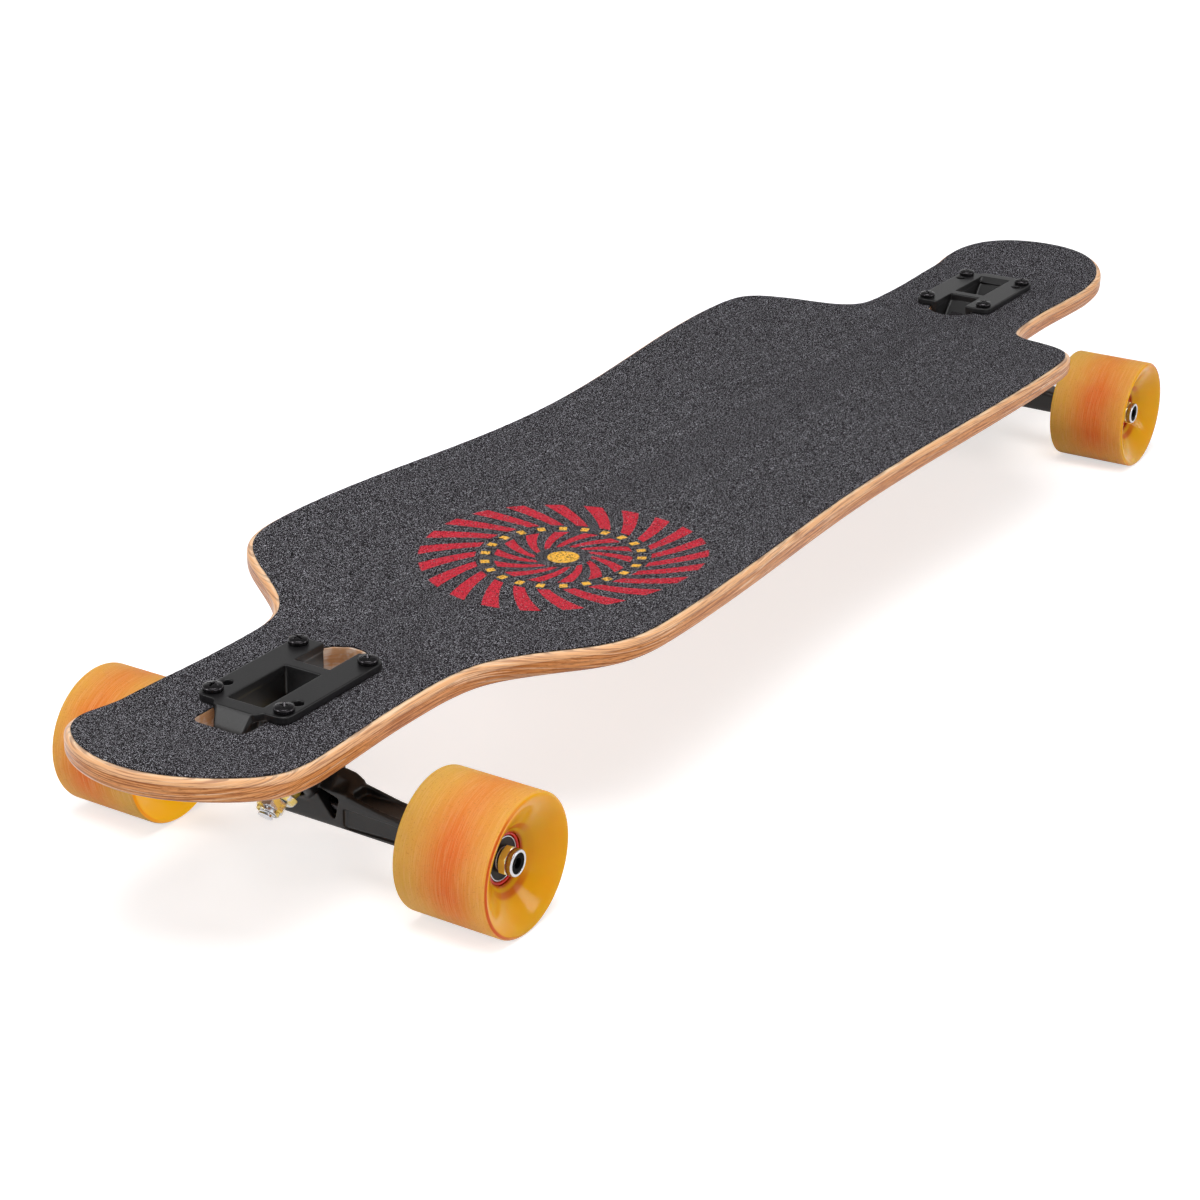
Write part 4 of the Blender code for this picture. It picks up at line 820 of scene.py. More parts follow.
def bolt_mesh(name, sizes, base):
    """A pan head bolt with a cross recess.

    The head's top is a low dome; the recess sinks it where either bar of the cross runs, by a depth that
    fades to the bars' ends.
    """
    around = angles(96)[None, :]
    head, tall = sizes.head, 3.1 * MM
    radius = (np.linspace(0, 1, 30)[:, None] ** 0.8) * head * 0.93
    crown = tall - 0.9 * MM * (radius / head) ** 2.4
    across, up = radius * np.cos(around + 0.5), radius * np.sin(around + 0.5)

    def bar(u, v):
        thin = np.clip((0.68 * MM - np.abs(u)) / (0.24 * MM), 0, 1)
        return thin * np.clip((3.1 * MM - np.abs(v)) / (1.6 * MM), 0, 1)
    recess = 1.7 * MM * np.maximum(bar(across, up), bar(up, across))
    top_height = crown - recess
    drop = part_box("front_mounting_bolt_1")[0].z - PLATE_TOP - GAP
    edge = softened(((head * 0.93, tall - 0.75 * MM), (head, 1.5 * MM), (head, 0), (BOLT_RADIUS, 0)),
                    (0, 0.6 * MM, 0.3 * MM, 0))
    levels = np.arange(0, drop, -sizes.bolt_pitch / 6)[1:]
    shank = np.column_stack((np.full(len(levels), BOLT_RADIUS), levels))
    tail = np.array(((BOLT_RADIUS * 0.7, drop), (0, drop)))
    rest = np.concatenate((edge, shank, tail))
    thread = threaded(rest[:, :1], rest[:, 1:], around, sizes.bolt_pitch, drop - MM, -5 * MM)
    lower = np.where(rest[:, 1:] < 0, thread, rest[:, :1])
    lower[-1] = 0
    full = np.concatenate((np.broadcast_to(radius, across.shape), lower))
    level = np.concatenate((top_height, np.broadcast_to(rest[:, 1:], lower.shape)))
    return spun(name, full, level, base, 96, angle=50)


# Wheels

def wheel_mesh(name, sizes, base):
    """The urethane wheel: round edges, dished faces and a bore round the core.

    From lip to hub the face falls by dish times the share s of the way to the power 1.25.
    """
    half, lip, neck = WHEEL_HALF, WHEEL_RADIUS - sizes.edge, 12.7 * MM
    share = np.linspace(0, 1, 15)
    face = np.column_stack((neck + (lip - 0.9 * MM - neck) * (1 - share),
                            half - 0.25 * MM - sizes.dish * share ** 1.25))
    edge = angles(40)[10::-1]
    tread = np.column_stack((lip + sizes.edge * np.cos(edge), half - sizes.edge + sizes.edge * np.sin(edge)))
    tread[0] = (lip, half)
    mirror = np.array((1, -1))
    upper = np.concatenate((face[::-1], tread))
    core = np.array(((16.3, -9.2), (16.3, 9.2))) * MM
    profile = np.concatenate((upper, (upper * mirror)[::-1], core))
    return spun(name, profile[:, :1], profile[:, 1:], base, sizes.sides, angle=50)


def core_mesh(name, base):
    """A wheel's core: a drum with a neck and a bearing seat at each end."""
    half = ((12.4, 12.3), (16.0, 8.9))
    corners = [*half, *((r, -h) for r, h in reversed(half)),
               (11.3, -12.3), (11.3, -4.7), (9.0, -4.7), (9.0, 4.7), (11.3, 4.7), (11.3, 12.3)]
    radii = np.array((0.5, 0.8, 0.8, 0.5, 0.4, 0.3, 0.3, 0.3, 0.3, 0.4)) * MM
    return spun(name, *ring_profile(np.array(corners) * MM, radii), base)


def bearing_mesh(name, base):
    """A shielded bearing: two races with chamfered edges and a shield set between them on each face."""
    half = BEARING_WIDTH / 2 / MM
    outer = ((11, half), (10.3, half), (10.15, half - 0.5), (9.4, half - 0.35), (6.4, half - 0.35),
             (5.9, half - 0.55), (5.7, half), (4.35, half))
    corners = [*outer, *((r, -h) for r, h in reversed(outer))]
    radii = np.array((0.5, 0.15, 0.1, 0.15, 0.15, 0.1, 0.15, 0.3)) * MM
    return spun(name, *ring_profile(np.array(corners) * MM, np.concatenate((radii, radii[::-1])), steps=3), base,
                angle=28)


def sleeve_mesh(name, radius, hole, low, high, base):
    """A plain ring from one height to another, with its corners just broken."""
    corners = ((radius, high), (radius, low), (hole, low), (hole, high))
    return spun(name, *ring_profile(corners, 0.15 * MM, steps=3), base, 64)


# Materials

class Wire:
    """A value in a material; sums, products and powers of it add Math nodes."""

    def __init__(self, finish, socket):
        self.finish = finish
        self.socket = socket

    def __add__(self, other):
        return self.finish.math("ADD", self, other)

    def __sub__(self, other):
        return self.finish.math("SUBTRACT", self, other)

    def __rsub__(self, other):
        return self.finish.math("SUBTRACT", other, self)

    def __mul__(self, other):
        return self.finish.math("MULTIPLY", self, other)

    def __truediv__(self, other):
        return self.finish.math("DIVIDE", self, other)

    def __pow__(self, other):
        return self.finish.math("POWER", self, other)

    __radd__ = __add__
    __rmul__ = __mul__


class Finish:
    """A material's node tree, with the board's own coordinates at hand."""

    def __init__(self, name, tree=None):
        if tree is None:
            self.material = bpy.data.materials.new(name)
            self.material.use_nodes = True
            tree = self.material.node_tree
        self.tree = tree
        self.tree.nodes.clear()

    def node(self, kind, sockets=None, settings=None, output=0):
        """Add a node: its settings, then a value or a link for each socket; gives one output, or all."""
        node = self.tree.nodes.new(kind)
        for key, value in (settings or {}).items():
            if key == "stops":
                elements = node.color_ramp.elements
                elements[0].position, elements[-1].position = value[0][0], value[-1][0]
                for stop in value[1:-1]:
                    elements.new(stop[0])
                for element, stop in zip(elements, value):
                    element.color = (*stop[1], 1)
            else:
                setattr(node, key, value)
        for key, value in (sockets or {}).items():
            if isinstance(value, Wire):
                self.tree.links.new(value.socket, node.inputs[key])
            else:
                node.inputs[key].default_value = value
        outputs = [Wire(self, socket) for socket in node.outputs]
        return outputs if output is None else Wire(self, node.outputs[output]) if outputs else None

    def math(self, operation, *values):
        return self.node("ShaderNodeMath", dict(enumerate(values)), {"operation": operation})

    def place(self):
        """The board's coordinates as a vector."""
        return self.node("ShaderNodeTexCoord", output="Object")

    def split(self, vector):
        return self.node("ShaderNodeSeparateXYZ", {0: vector}, output=None)

    def scaled(self, vector, factors):
        return self.node("ShaderNodeVectorMath", {0: vector, 1: factors}, {"operation": "MULTIPLY"})

    def noise(self, vector, scale, detail=2.0, roughness=0.5):
        return self.node("ShaderNodeTexNoise", {"Vector": vector, "Scale": scale, "Detail": detail,
                                                "Roughness": roughness})

    def step(self, value, low, high):
        """A soft step from 0 at low to 1 at high."""
        return self.node("ShaderNodeMapRange", {"Value": value, "From Min": low, "From Max": high},
                         {"interpolation_type": "SMOOTHSTEP"})

    def bump_at(self, value, centre, width):
        """1 at a centre, fading to 0 a width away on both sides."""
        return 1 - self.step(self.math("ABSOLUTE", value - centre), 0.0, width)

    def mix(self, factor, first, second):
        """Blend two colours; 6 and 7 are the colour inputs of a mix node, 2 is its colour output."""
        first, second = (colour if isinstance(colour, Wire) else (*colour, 1) for colour in (first, second))
        return self.node("ShaderNodeMix", {0: factor, 6: first, 7: second}, {"data_type": "RGBA"}, output=2)

    def ramp(self, value, *stops):
        """Colours between stops, each a place and a colour."""
        return self.node("ShaderNodeValToRGB", {0: value}, {"stops": stops})

    def bump(self, height, distance, strength):
        return self.node("ShaderNodeBump", {"Height": height, "Distance": distance, "Strength": strength})

    def surface(self, **sockets):
        """Close the tree with a Principled surface; underscores in names stand for spaces."""
        names = {key.replace("_", " ").title().replace("Ior", "IOR"): value for key, value in sockets.items()}
        shader = self.node("ShaderNodeBsdfPrincipled", names)
        self.node("ShaderNodeOutputMaterial", {"Surface": shader})
        return self.material


def board_depth(finish, x, y, z):
    """Share of the deck's thickness below its top, worked out as grip_height does."""
    along = finish.math("ABSOLUTE", x)
    depth = CONCAVE_WAIST + finish.step(along, 0.0, PLATFORM_X) * (CONCAVE_PLATFORM - CONCAVE_WAIST)
    depth = depth * (1 - finish.step(along, CONCAVE_END, FLAT_START))
    lift = finish.step(along, FLAT_END, FLAT_END + TIP_LIFT_LENGTH) * TIP_LIFT
    top = depth * (y / CONCAVE_WIDTH) ** 2 + lift + (GRIP_TOP - DECK_DROP)
    return (top - z) / DECK_THICKNESS


def maple_finish(colours):
    """Clear coated plywood: bands of ply at the edge with painted highlight streaks and a painted floor reflection at
    its foot, raw walls in the slots, veneer below.
    """
    finish = Finish("clear_coated_maple")
    place = finish.place()
    x, y, z = finish.split(place)
    along = finish.math("ABSOLUTE", x)
    share = board_depth(finish, x, y, z)
    drift = finish.noise(finish.scaled(place, (14, 14, 60)), 1.0, 2.0) - 0.5
    band = share + drift * 0.05
    light, dark, veneer = tuple(colours.ply_light), tuple(colours.ply_dark), tuple(colours.veneer)
    pale = linear(255, 224, 190)
    warm = toned(light, 0.84)
    # The last stop, greyish pink at the foot of the edge, is a painted reflection of the floor.
    plies = finish.ramp(band, (0.0, pale), (0.045, veneer), (0.27, veneer), (0.30, dark), (0.34, warm), (0.43, light),
                        (0.50, warm), (0.53, dark), (0.57, warm), (0.66, light), (0.70, warm), (0.73, dark),
                        (0.78, warm), (0.86, light), (0.89, dark), (0.96, linear(176, 132, 108)))
    fine = finish.noise(finish.scaled(place, (34, 34, 1700)), 1.0, 3.0, 0.62)
    flecks = finish.noise(finish.scaled(place, (240, 240, 3000)), 1.0, 2.0, 0.6)
    streak = finish.step(fine, 0.36, 0.66)
    edge = finish.mix(streak * 0.5, plies, linear(240, 178, 120))
    # Painted highlight: pale streaks along the edge stand in for the lamps' gloss on the clear coat.
    painted_highlight = finish.step(finish.noise(finish.scaled(place, (20, 20, 900)), 1.0, 2.0, 0.5), 0.58, 0.68)
    edge = finish.mix(painted_highlight * 0.45, edge, linear(255, 226, 192))
    edge = finish.mix(finish.step(fine, 0.54, 0.38) * 0.55, edge, dark)
    edge = finish.mix(finish.step(flecks, 0.54, 0.70) * finish.step(share, 0.1, 0.3) * 0.6, edge, toned(dark, 0.7))
    grain = finish.noise(finish.scaled(place, (9, 420, 420)), 1.0, 4.0, 0.62)
    figure = finish.noise(finish.scaled(place, (2.2, 26, 26)), 1.0, 3.0)
    face = finish.mix(finish.step(grain, 0.36, 0.70) * 0.55, veneer, toned(veneer, 0.72))
    face = finish.mix(finish.step(figure, 0.40, 0.66) * 0.28, face, toned(veneer, 0.66))
    below = finish.step(share, 0.972, 0.992)
    colour = finish.mix(below, edge, face)
    slot = (1 - finish.step(finish.math("ABSOLUTE", y), SLOT_HALF + 0.3 * MM, SLOT_HALF + 0.8 * MM))
    slot = slot * finish.bump_at(along, TRUCK_X + PATTERN_X, SLOT_OUTBOARD + 8 * MM) ** 0.05 * (1 - below)
    patch = finish.step(finish.noise(place, 85.0, 3.0, 0.6), 0.44, 0.58)
    raw = finish.mix(patch, linear(222, 168, 126), linear(250, 232, 216))
    raw = finish.mix(streak * 0.55, raw, linear(184, 118, 72))
    colour = finish.mix(slot * 0.8, colour, raw)
    rough = 0.34 + streak * 0.08 + slot * 0.3
    bump = finish.bump(fine * 0.6 + flecks * 0.4, 0.12 * MM, 0.5)
    return finish.surface(base_color=colour, roughness=rough, coat_weight=0.16 - slot * 0.16, coat_roughness=0.1,
                          specular_ior_level=0.12, normal=bump)


def rosette(finish, x, y, sizes):
    """Masks of a round printed ornament: two rings of slanted bars and a ring of dots between them.

    A bar lies where the sine of bars times the angle, turned with the logarithm of the radius, is over 0.
    """
    across, up = (x - sizes.badge_x) / sizes.badge, (y - sizes.badge_y) / sizes.badge
    radius = finish.math("SQRT", across * across + up * up)
    angle = finish.math("ARCTAN2", up, across)
    twist = finish.math("LOGARITHM", radius + 0.001, math.e)
    bars = finish.step(finish.math("SINE", angle * 14 + twist * 9.0), -0.05, 0.12)
    others = finish.step(finish.math("SINE", angle * 22 - twist * 13.0), -0.05, 0.12)
    inner = finish.step(radius, 0.19, 0.20) * (1 - finish.step(radius, 0.47, 0.48)) * bars
    outer = finish.step(radius, 0.60, 0.61) * (1 - finish.step(radius, 0.985, 1.0)) * others
    dots = finish.step(finish.math("COSINE", angle * 22), 0.35, 0.55) * finish.bump_at(radius, 0.54, 0.035) ** 0.3
    middle = 1 - finish.step(radius, 0.105, 0.115)
    red = finish.math("MINIMUM", inner + outer, 1.0)
    yellow = finish.math("MINIMUM", finish.step(dots, 0.2, 0.5) + middle, 1.0)
    return red, yellow


def grip_finish(sizes, colours):
    """Grit on adhesive sheet: dark grains, a few bright ones, and a printed rosette."""
    finish = Finish("grit_grip")
    place = finish.place()
    x, y, _ = finish.split(place)
    grains = finish.noise(place, 1 / sizes.grain, 1.0, 0.6)
    coarse = finish.noise(place, 0.45 / sizes.grain, 2.0, 0.6)
    sparkle = finish.noise(finish.scaled(place, (1.3, 1.3, 1.3)), 1 / sizes.grain, 0.0)
    cloud = finish.noise(place, 11.0, 2.0)
    base = tuple(colours.grip)
    grit = grains * 0.62 + coarse * 0.38
    tone = finish.ramp(grit, (0.38, linear(12, 11, 12)), (0.48, base), (0.56, linear(54, 51, 55)),
                       (0.64, linear(138, 136, 142)))
    tone = finish.mix(finish.step(sparkle, 0.66, 0.74) * 0.7, tone, linear(222, 222, 230))
    tone = finish.mix(finish.step(cloud, 0.3, 0.7) * 0.08, tone, linear(60, 56, 60))
    red, yellow = rosette(finish, x, y, sizes)
    cover = finish.step(grit, 0.415, 0.475) * 0.95
    tone = finish.mix(red * cover, tone, tuple(colours.badge_red))
    tone = finish.mix(yellow * cover, tone, tuple(colours.badge_yellow))
    bump = finish.bump(grit, 0.35 * MM, 0.6)
    return finish.surface(base_color=tone, roughness=0.95 - finish.step(sparkle, 0.66, 0.8) * 0.4, normal=bump,
                          specular_ior_level=0.05)


def casting_finish(colours):
    """Satin black coat over a casting: fine orange peel and a slight change of tone."""
    finish = Finish("black_cast_aluminium")
    place = finish.place()
    peel = finish.noise(place, 1100.0, 2.0)
    cloud = finish.noise(place, 60.0, 3.0)
    base = tuple(colours.casting)
    tone = finish.mix(finish.step(cloud, 0.3, 0.7) * 0.6, base, toned(base, 1.5))
    tone = finish.mix(finish.step(peel, 0.62, 0.8) * 0.10, tone, linear(110, 106, 106))
    return finish.surface(base_color=tone, metallic=0.0, roughness=0.30 + peel * 0.16, specular_ior_level=0.45,
                          normal=finish.bump(peel, 0.05 * MM, 0.45))


def steel_finish(name, colour, roughness, scratch=0.10):
    """Plated or blackened steel with fine turning marks."""
    finish = Finish(name)
    place = finish.place()
    marks = finish.noise(finish.scaled(place, (1500, 260, 1500)), 1.0, 3.0, 0.6)
    cloud = finish.noise(place, 160.0, 3.0)
    tone = finish.mix(finish.step(cloud, 0.35, 0.7) * 0.5, tuple(colour), toned(colour, 0.72))
    return finish.surface(base_color=tone, metallic=1.0, roughness=marks * scratch + (roughness - scratch / 2),
                          normal=finish.bump(marks, 0.01 * MM, 0.35))


def plated_finish(colours):
    """Zinc plating with painted amber reflections: on the axle nuts' hexagons, not their collars, and in patches on
    the rest.
    """
    finish = Finish("zinc_plate_with_painted_reflections")
    place = finish.place()
    out = finish.math("ABSOLUTE", finish.split(place)[1])
    cloud = finish.noise(place, 170.0, 2.0)
    marks = finish.noise(finish.scaled(place, (1500, 260, 1500)), 1.0, 3.0, 0.6)
    at_wheel = finish.step(out, 0.09, 0.10)
    collar = finish.step(out, NUT_HIGH - 3.7 * MM, NUT_HIGH - 3.2 * MM)
    # Painted reflection: amber on the axle nuts' hexagons and in patches elsewhere; the metal is made less metallic
    # there.
    amber_reflection = at_wheel * (1 - collar) * 0.9 + (1 - at_wheel) * finish.step(cloud, 0.47, 0.56) * 0.75
    tone = finish.mix(amber_reflection, toned(colours.steel, 0.75), linear(255, 222, 72))
    return finish.surface(base_color=tone, metallic=1 - amber_reflection * (at_wheel * 0.25 + 0.7), roughness=marks * 0.1 + 0.2,
                          normal=finish.bump(marks, 0.01 * MM, 0.35))


def wheel_radius(finish, x, z):
    """Distance from the nearer axle, and its two legs: towards the board's end, and up."""
    along = finish.math("ABSOLUTE", x) - TRUCK_X
    up = z - AXLE_Z
    return finish.math("SQRT", along * along + up * up), along, up


def urethane_finish(colours):
    """Amber urethane: glossy faces, a ground tread with fine lines and the core's red near the hub; painted light in
    a glow through the tread, a paler inboard tone, reflections of the core, a red line at the lip and glowing inner
    faces.
    """
    finish = Finish("amber_urethane")
    place = finish.place()
    x, y, z = finish.split(place)
    radius, along, up = wheel_radius(finish, x, z)
    off = finish.math("ABSOLUTE", y) - WHEEL_Y
    lines = finish.noise(finish.scaled(place, (55, 2600, 55)), 1.0, 3.0, 0.7)
    cloud = finish.noise(place, 38.0, 3.0, 0.55)
    speck = finish.noise(place, 1300.0, 1.0)
    face, tread, glow = (tuple(part) for part in (colours.face, colours.tread, colours.glow))
    # Painted glow: light shining through the urethane round the middle of the tread.
    warm = finish.bump_at(off + (cloud - 0.5) * 0.010, 0.0042, 0.021)
    # Painted light: a paler, yellower tone on the tread's inboard side, for how the light falls there.
    shade = finish.step(off, -0.008, -0.024)
    ground = finish.mix(shade * 0.6, tread, linear(212, 168, 78))
    steep = finish.step(finish.math("ABSOLUTE", up) / (radius + 0.001), 0.45, 0.95)
    # How much of the painted glow shows: less towards the tread's top and bottom, and less again below the axle, as
    # painted shade.
    painted_glow_share = (1 - steep * 0.4) * 0.78
    painted_glow_share = painted_glow_share * (1 - finish.step(up / (radius + 0.001), -0.15, -0.75) * 0.55)
    ground = finish.mix(warm * painted_glow_share, ground, glow)
    ground = finish.mix(finish.step(lines, 0.42, 0.70) * 0.42, ground, linear(236, 184, 120))
    ground = finish.mix(finish.step(speck, 0.58, 0.74) * 0.34, ground, linear(170, 100, 38))
    glossy = finish.mix(finish.step(cloud, 0.35, 0.7) * 0.3, face, linear(236, 150, 12))
    # Painted reflection: crescents of the red core seen inside the urethane, strongest above and below the hub.
    painted_core_reflection = finish.step(radius, 14.6 * MM, 15.8 * MM) * (1 - finish.step(radius, 17.2 * MM, 18.8 * MM))
    glossy = finish.mix(painted_core_reflection * (steep * 0.62 + 0.08), glossy, linear(196, 60, 10))
    near_hub = 1 - finish.step(radius, 13.0 * MM, 14.2 * MM)
    glossy = finish.mix(near_hub * 0.8, glossy, linear(190, 44, 10))
    # Painted light: a dark red line at the lip, the edge shading of the translucent urethane, mostly on the side
    # towards the board's end.
    lip = finish.step(radius, WHEEL_RADIUS - 2.4 * MM, WHEEL_RADIUS - 1.5 * MM)
    lip = lip * (finish.step(along / (radius + 0.001), -0.1, 0.8) * 0.75 + 0.1)
    glossy = finish.mix(lip, glossy, linear(186, 50, 8))
    worn = finish.step(radius, WHEEL_RADIUS - 0.75 * MM, WHEEL_RADIUS - 0.25 * MM)
    colour = finish.mix(worn, glossy, ground)
    bump = finish.bump(lines * worn, 0.06 * MM, 0.8)
    # Painted glow: the inner faces emit amber light, standing in for light shining through the urethane.
    inside = finish.mix(finish.step(off, -0.016, -0.022) * (1 - worn), (0, 0, 0), linear(240, 176, 2))
    return finish.surface(base_color=colour, roughness=0.12 + worn * 0.5, subsurface_weight=0.6,
                          emission_color=inside, emission_strength=0.5,
                          subsurface_radius=(0.018, 0.009, 0.001), subsurface_scale=1.0,
                          specular_ior_level=0.12, normal=bump)


def core_finish(colours):
    """Glossy red core, darker in soft clouds."""
    finish = Finish("red_core")
    place = finish.place()
    cloud = finish.noise(place, 140.0, 2.0)
    base = tuple(colours.core)
    tone = finish.mix(finish.step(cloud, 0.3, 0.7) * 0.5, base, toned(base, 0.6))
    return finish.surface(base_color=tone, roughness=0.22 + cloud * 0.1, specular_ior_level=0.2)


def bearing_finish():
    """Steel races round a black shield, told apart by their distance from the axle."""
    finish = Finish("shielded_bearing")
    place = finish.place()
    x, _, z = finish.split(place)
    radius = wheel_radius(finish, x, z)[0]
    shield = finish.step(radius, 5.75 * MM, 5.9 * MM) * (1 - finish.step(radius, 10.15 * MM, 10.3 * MM))
    marks = finish.noise(place, 900.0, 2.0)
    tone = finish.mix(shield, linear(176, 178, 184), linear(14, 13, 13))
    return finish.surface(base_color=tone, metallic=1 - shield, roughness=0.16 + shield * 0.28 + marks * 0.08,
                          specular_ior_level=0.2)


def soft_finish(name, colour, roughness, shade=0.7, coat=0.2):
    """Plain cast urethane with a slight cloud and fine mould texture."""
    finish = Finish(name)
    place = finish.place()
    cloud = finish.noise(place, 120.0, 3.0)
    fine = finish.noise(place, 1500.0, 2.0)
    tone = finish.mix(finish.step(cloud, 0.3, 0.7), tuple(colour), toned(colour, shade))
    return finish.surface(base_color=tone, roughness=fine * 0.12 + roughness, coat_weight=coat,
                          coat_roughness=0.15, specular_ior_level=coat,
                          normal=finish.bump(fine, 0.02 * MM, 0.4))


FINISHES = {}


def finish_for(name):
    """A finish, made the first time that a piece asks for it."""
    scene = bpy.context.scene
    colours = scene.board_colours
    makers = {
        "maple": lambda: maple_finish(colours),
        "grip": lambda: grip_finish(scene.board_sizes, colours),
        "casting": lambda: casting_finish(colours),
        "steel": lambda: steel_finish("bright_steel", colours.steel, 0.2),
        "plated": lambda: plated_finish(colours),
        "black": lambda: steel_finish("black_steel", linear(60, 58, 60), 0.26, 0.14),
        "bushing": lambda: soft_finish("olive_urethane", colours.bushing, 0.3),
        "cup": lambda: soft_finish("dark_urethane", linear(40, 40, 42), 0.4),
        "insert": lambda: soft_finish("black_nylon", linear(12, 12, 13), 0.6, 0.4, 0.03),
        "urethane": lambda: urethane_finish(colours),
        "core": lambda: core_finish(colours),
        "bearing": bearing_finish,
    }
    if name not in FINISHES:
        FINISHES[name] = makers[name]()
    return FINISHES[name]


# Operators

class BuildDeck(bpy.types.Operator):
    """Build the plywood deck"""
    bl_idname = "longboard.deck"
    bl_label = "Deck"

    def execute(self, context):
        mesh = deck_mesh(context.scene.board_sizes)
        piece("deck_plywood", mesh, finish_for("maple"), "deck", "maple", "deck")
        return {"FINISHED"}


class BuildGrip(bpy.types.Operator):
    """Build the grip sheet with its printed rosette"""
    bl_idname = "longboard.grip"
    bl_label = "Grip"

    def execute(self, context):
        mesh = grip_mesh(context.scene.board_sizes)
        piece("grip_sheet", mesh, finish_for("grip"), "deck", "grip", "grip_tape")
        return {"FINISHED"}


class BuildBaseplates(bpy.types.Operator):
    """Build both cast baseplates"""
    bl_idname = "longboard.baseplates"
    bl_label = "Baseplates"

    def execute(self, context):
        for end, sign in ENDS:
            mesh = baseplate_mesh(end, sign, context.scene.truck_sizes)
            piece(f"{end}_plate_casting", mesh, finish_for("casting"), "deck", "black_casting", f"{end}_baseplate")
        return {"FINISHED"}


class BuildHangers(bpy.types.Operator):
    """Build both cast hangers"""
    bl_idname = "longboard.hangers"
    bl_label = "Hangers"

    def execute(self, context):
        for end, sign in ENDS:
            mesh = hanger_mesh(end, sign, context.scene.truck_sizes)
            piece(f"{end}_hanger_casting", mesh, finish_for("casting"), f"{end}_hanger", "black_casting",
                  f"{end}_hanger")
        return {"FINISHED"}


class BuildKingpins(bpy.types.Operator):
    """Build the kingpins with their nuts and cup washers"""
    bl_idname = "longboard.kingpins"
    bl_label = "Kingpins"

    def execute(self, context):
        sizes, steel = context.scene.truck_sizes, finish_for("steel")
        for end, sign in ENDS:
            base = kingpin_frame(sign)
            low = base @ Matrix.Translation((0, 0, ROAD_WASHER))
            high = base @ Matrix.Translation((0, 0, BOARD_WASHER_TOP)) @ TURNED_OVER
            nut = nut_mesh(f"{end}_kingpin_locknut", *KINGPIN_NUT_SIZES,
                           base @ Matrix.Translation((0, 0, KINGPIN_NUT)))
            rod = rod_mesh(f"{end}_kingpin_rod", KINGPIN_RADIUS, KINGPIN_END, KINGPIN_HEAD + MM,
                           ((KINGPIN_END - MM, PIN_THREAD),), sizes.pitch, base)
            # Painted shade: the head is black while its rod is bright steel; the black stands in for the shade in the
            # baseplate's pocket.
            piece(f"{end}_kingpin_head", head_mesh(f"{end}_kingpin_head", base), finish_for("black"), "deck",
                  "black_steel")
            pieces = ((rod, "kingpin"), (nut, "kingpin_nut"),
                      (washer_mesh(f"{end}_road_cup_washer", low), "roadside_washer"),
                      (washer_mesh(f"{end}_board_cup_washer", high), "boardside_washer"))
            for mesh, node in pieces:
                finish = steel if node == "kingpin" else finish_for("plated")
                piece(mesh.name, mesh, finish, "deck", "bright_steel", f"{end}_{node}")
        return {"FINISHED"}


class BuildBushings(bpy.types.Operator):
    """Build the bushings and the pivot cups"""
    bl_idname = "longboard.bushings"
    bl_label = "Bushings and pivot cups"

    def execute(self, context):
        for end, sign in ENDS:
            base = kingpin_frame(sign)
            road = bushing_mesh(f"{end}_road_bushing", 10.1, 4.6, 1.7, 5.0,
                                base @ Matrix.Translation((0, 0, ROAD_BUSHING)))
            high = BOARD_BUSHING + BOARD_BUSHING_TALL * MM
            board = bushing_mesh(f"{end}_board_bushing", BOARD_BUSHING_TALL, 3.5, 1.8, 9.0,
                                 base @ Matrix.Translation((0, 0, high)) @ TURNED_OVER)
            for mesh, node, fixed, leaning in ((road, "roadside_bushing", 12.8 * MM, 17 * MM),
                                               (board, "boardside_bushing", 47.5 * MM, 36.5 * MM)):
                bushing = piece(mesh.name, mesh, finish_for("bushing"), None, "bushing_urethane", f"{end}_{node}")
                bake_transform(bushing)
            cup = cup_mesh(f"{end}_pivot_urethane", pivot_frame(sign))
            piece(cup.name, cup, finish_for("cup"), "deck", "pivot_cup_urethane", f"{end}_pivot_cup")
        return {"FINISHED"}


class BuildMountingHardware(bpy.types.Operator):
    """Build the eight mounting bolts and their locknuts"""
    bl_idname = "longboard.mounting_hardware"
    bl_label = "Mounting bolts and nuts"

    def execute(self, context):
        sizes, black = context.scene.truck_sizes, finish_for("black")
        for end, sign in ENDS:
            for number, (x, y) in enumerate(bolt_places(sign), 1):
                seat = Matrix.Translation((x, y, PLATE_TOP + GAP)) @ Matrix.Rotation(number * 1.1, 4, "Z")
                bolt = bolt_mesh(f"{end}_deck_bolt_{number}", sizes, seat)
                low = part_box(f"{end}_mounting_nut_{number}")[0].z
                nut = nut_mesh(f"{end}_deck_locknut_{number}", *DECK_NUT_SIZES, Matrix.Translation((x, y, low)))
                piece(bolt.name, bolt, black, "deck", "black_steel", f"{end}_mounting_bolt_{number}")
                piece(nut.name, nut, black, "deck", "black_steel", f"{end}_mounting_nut_{number}")
        return {"FINISHED"}


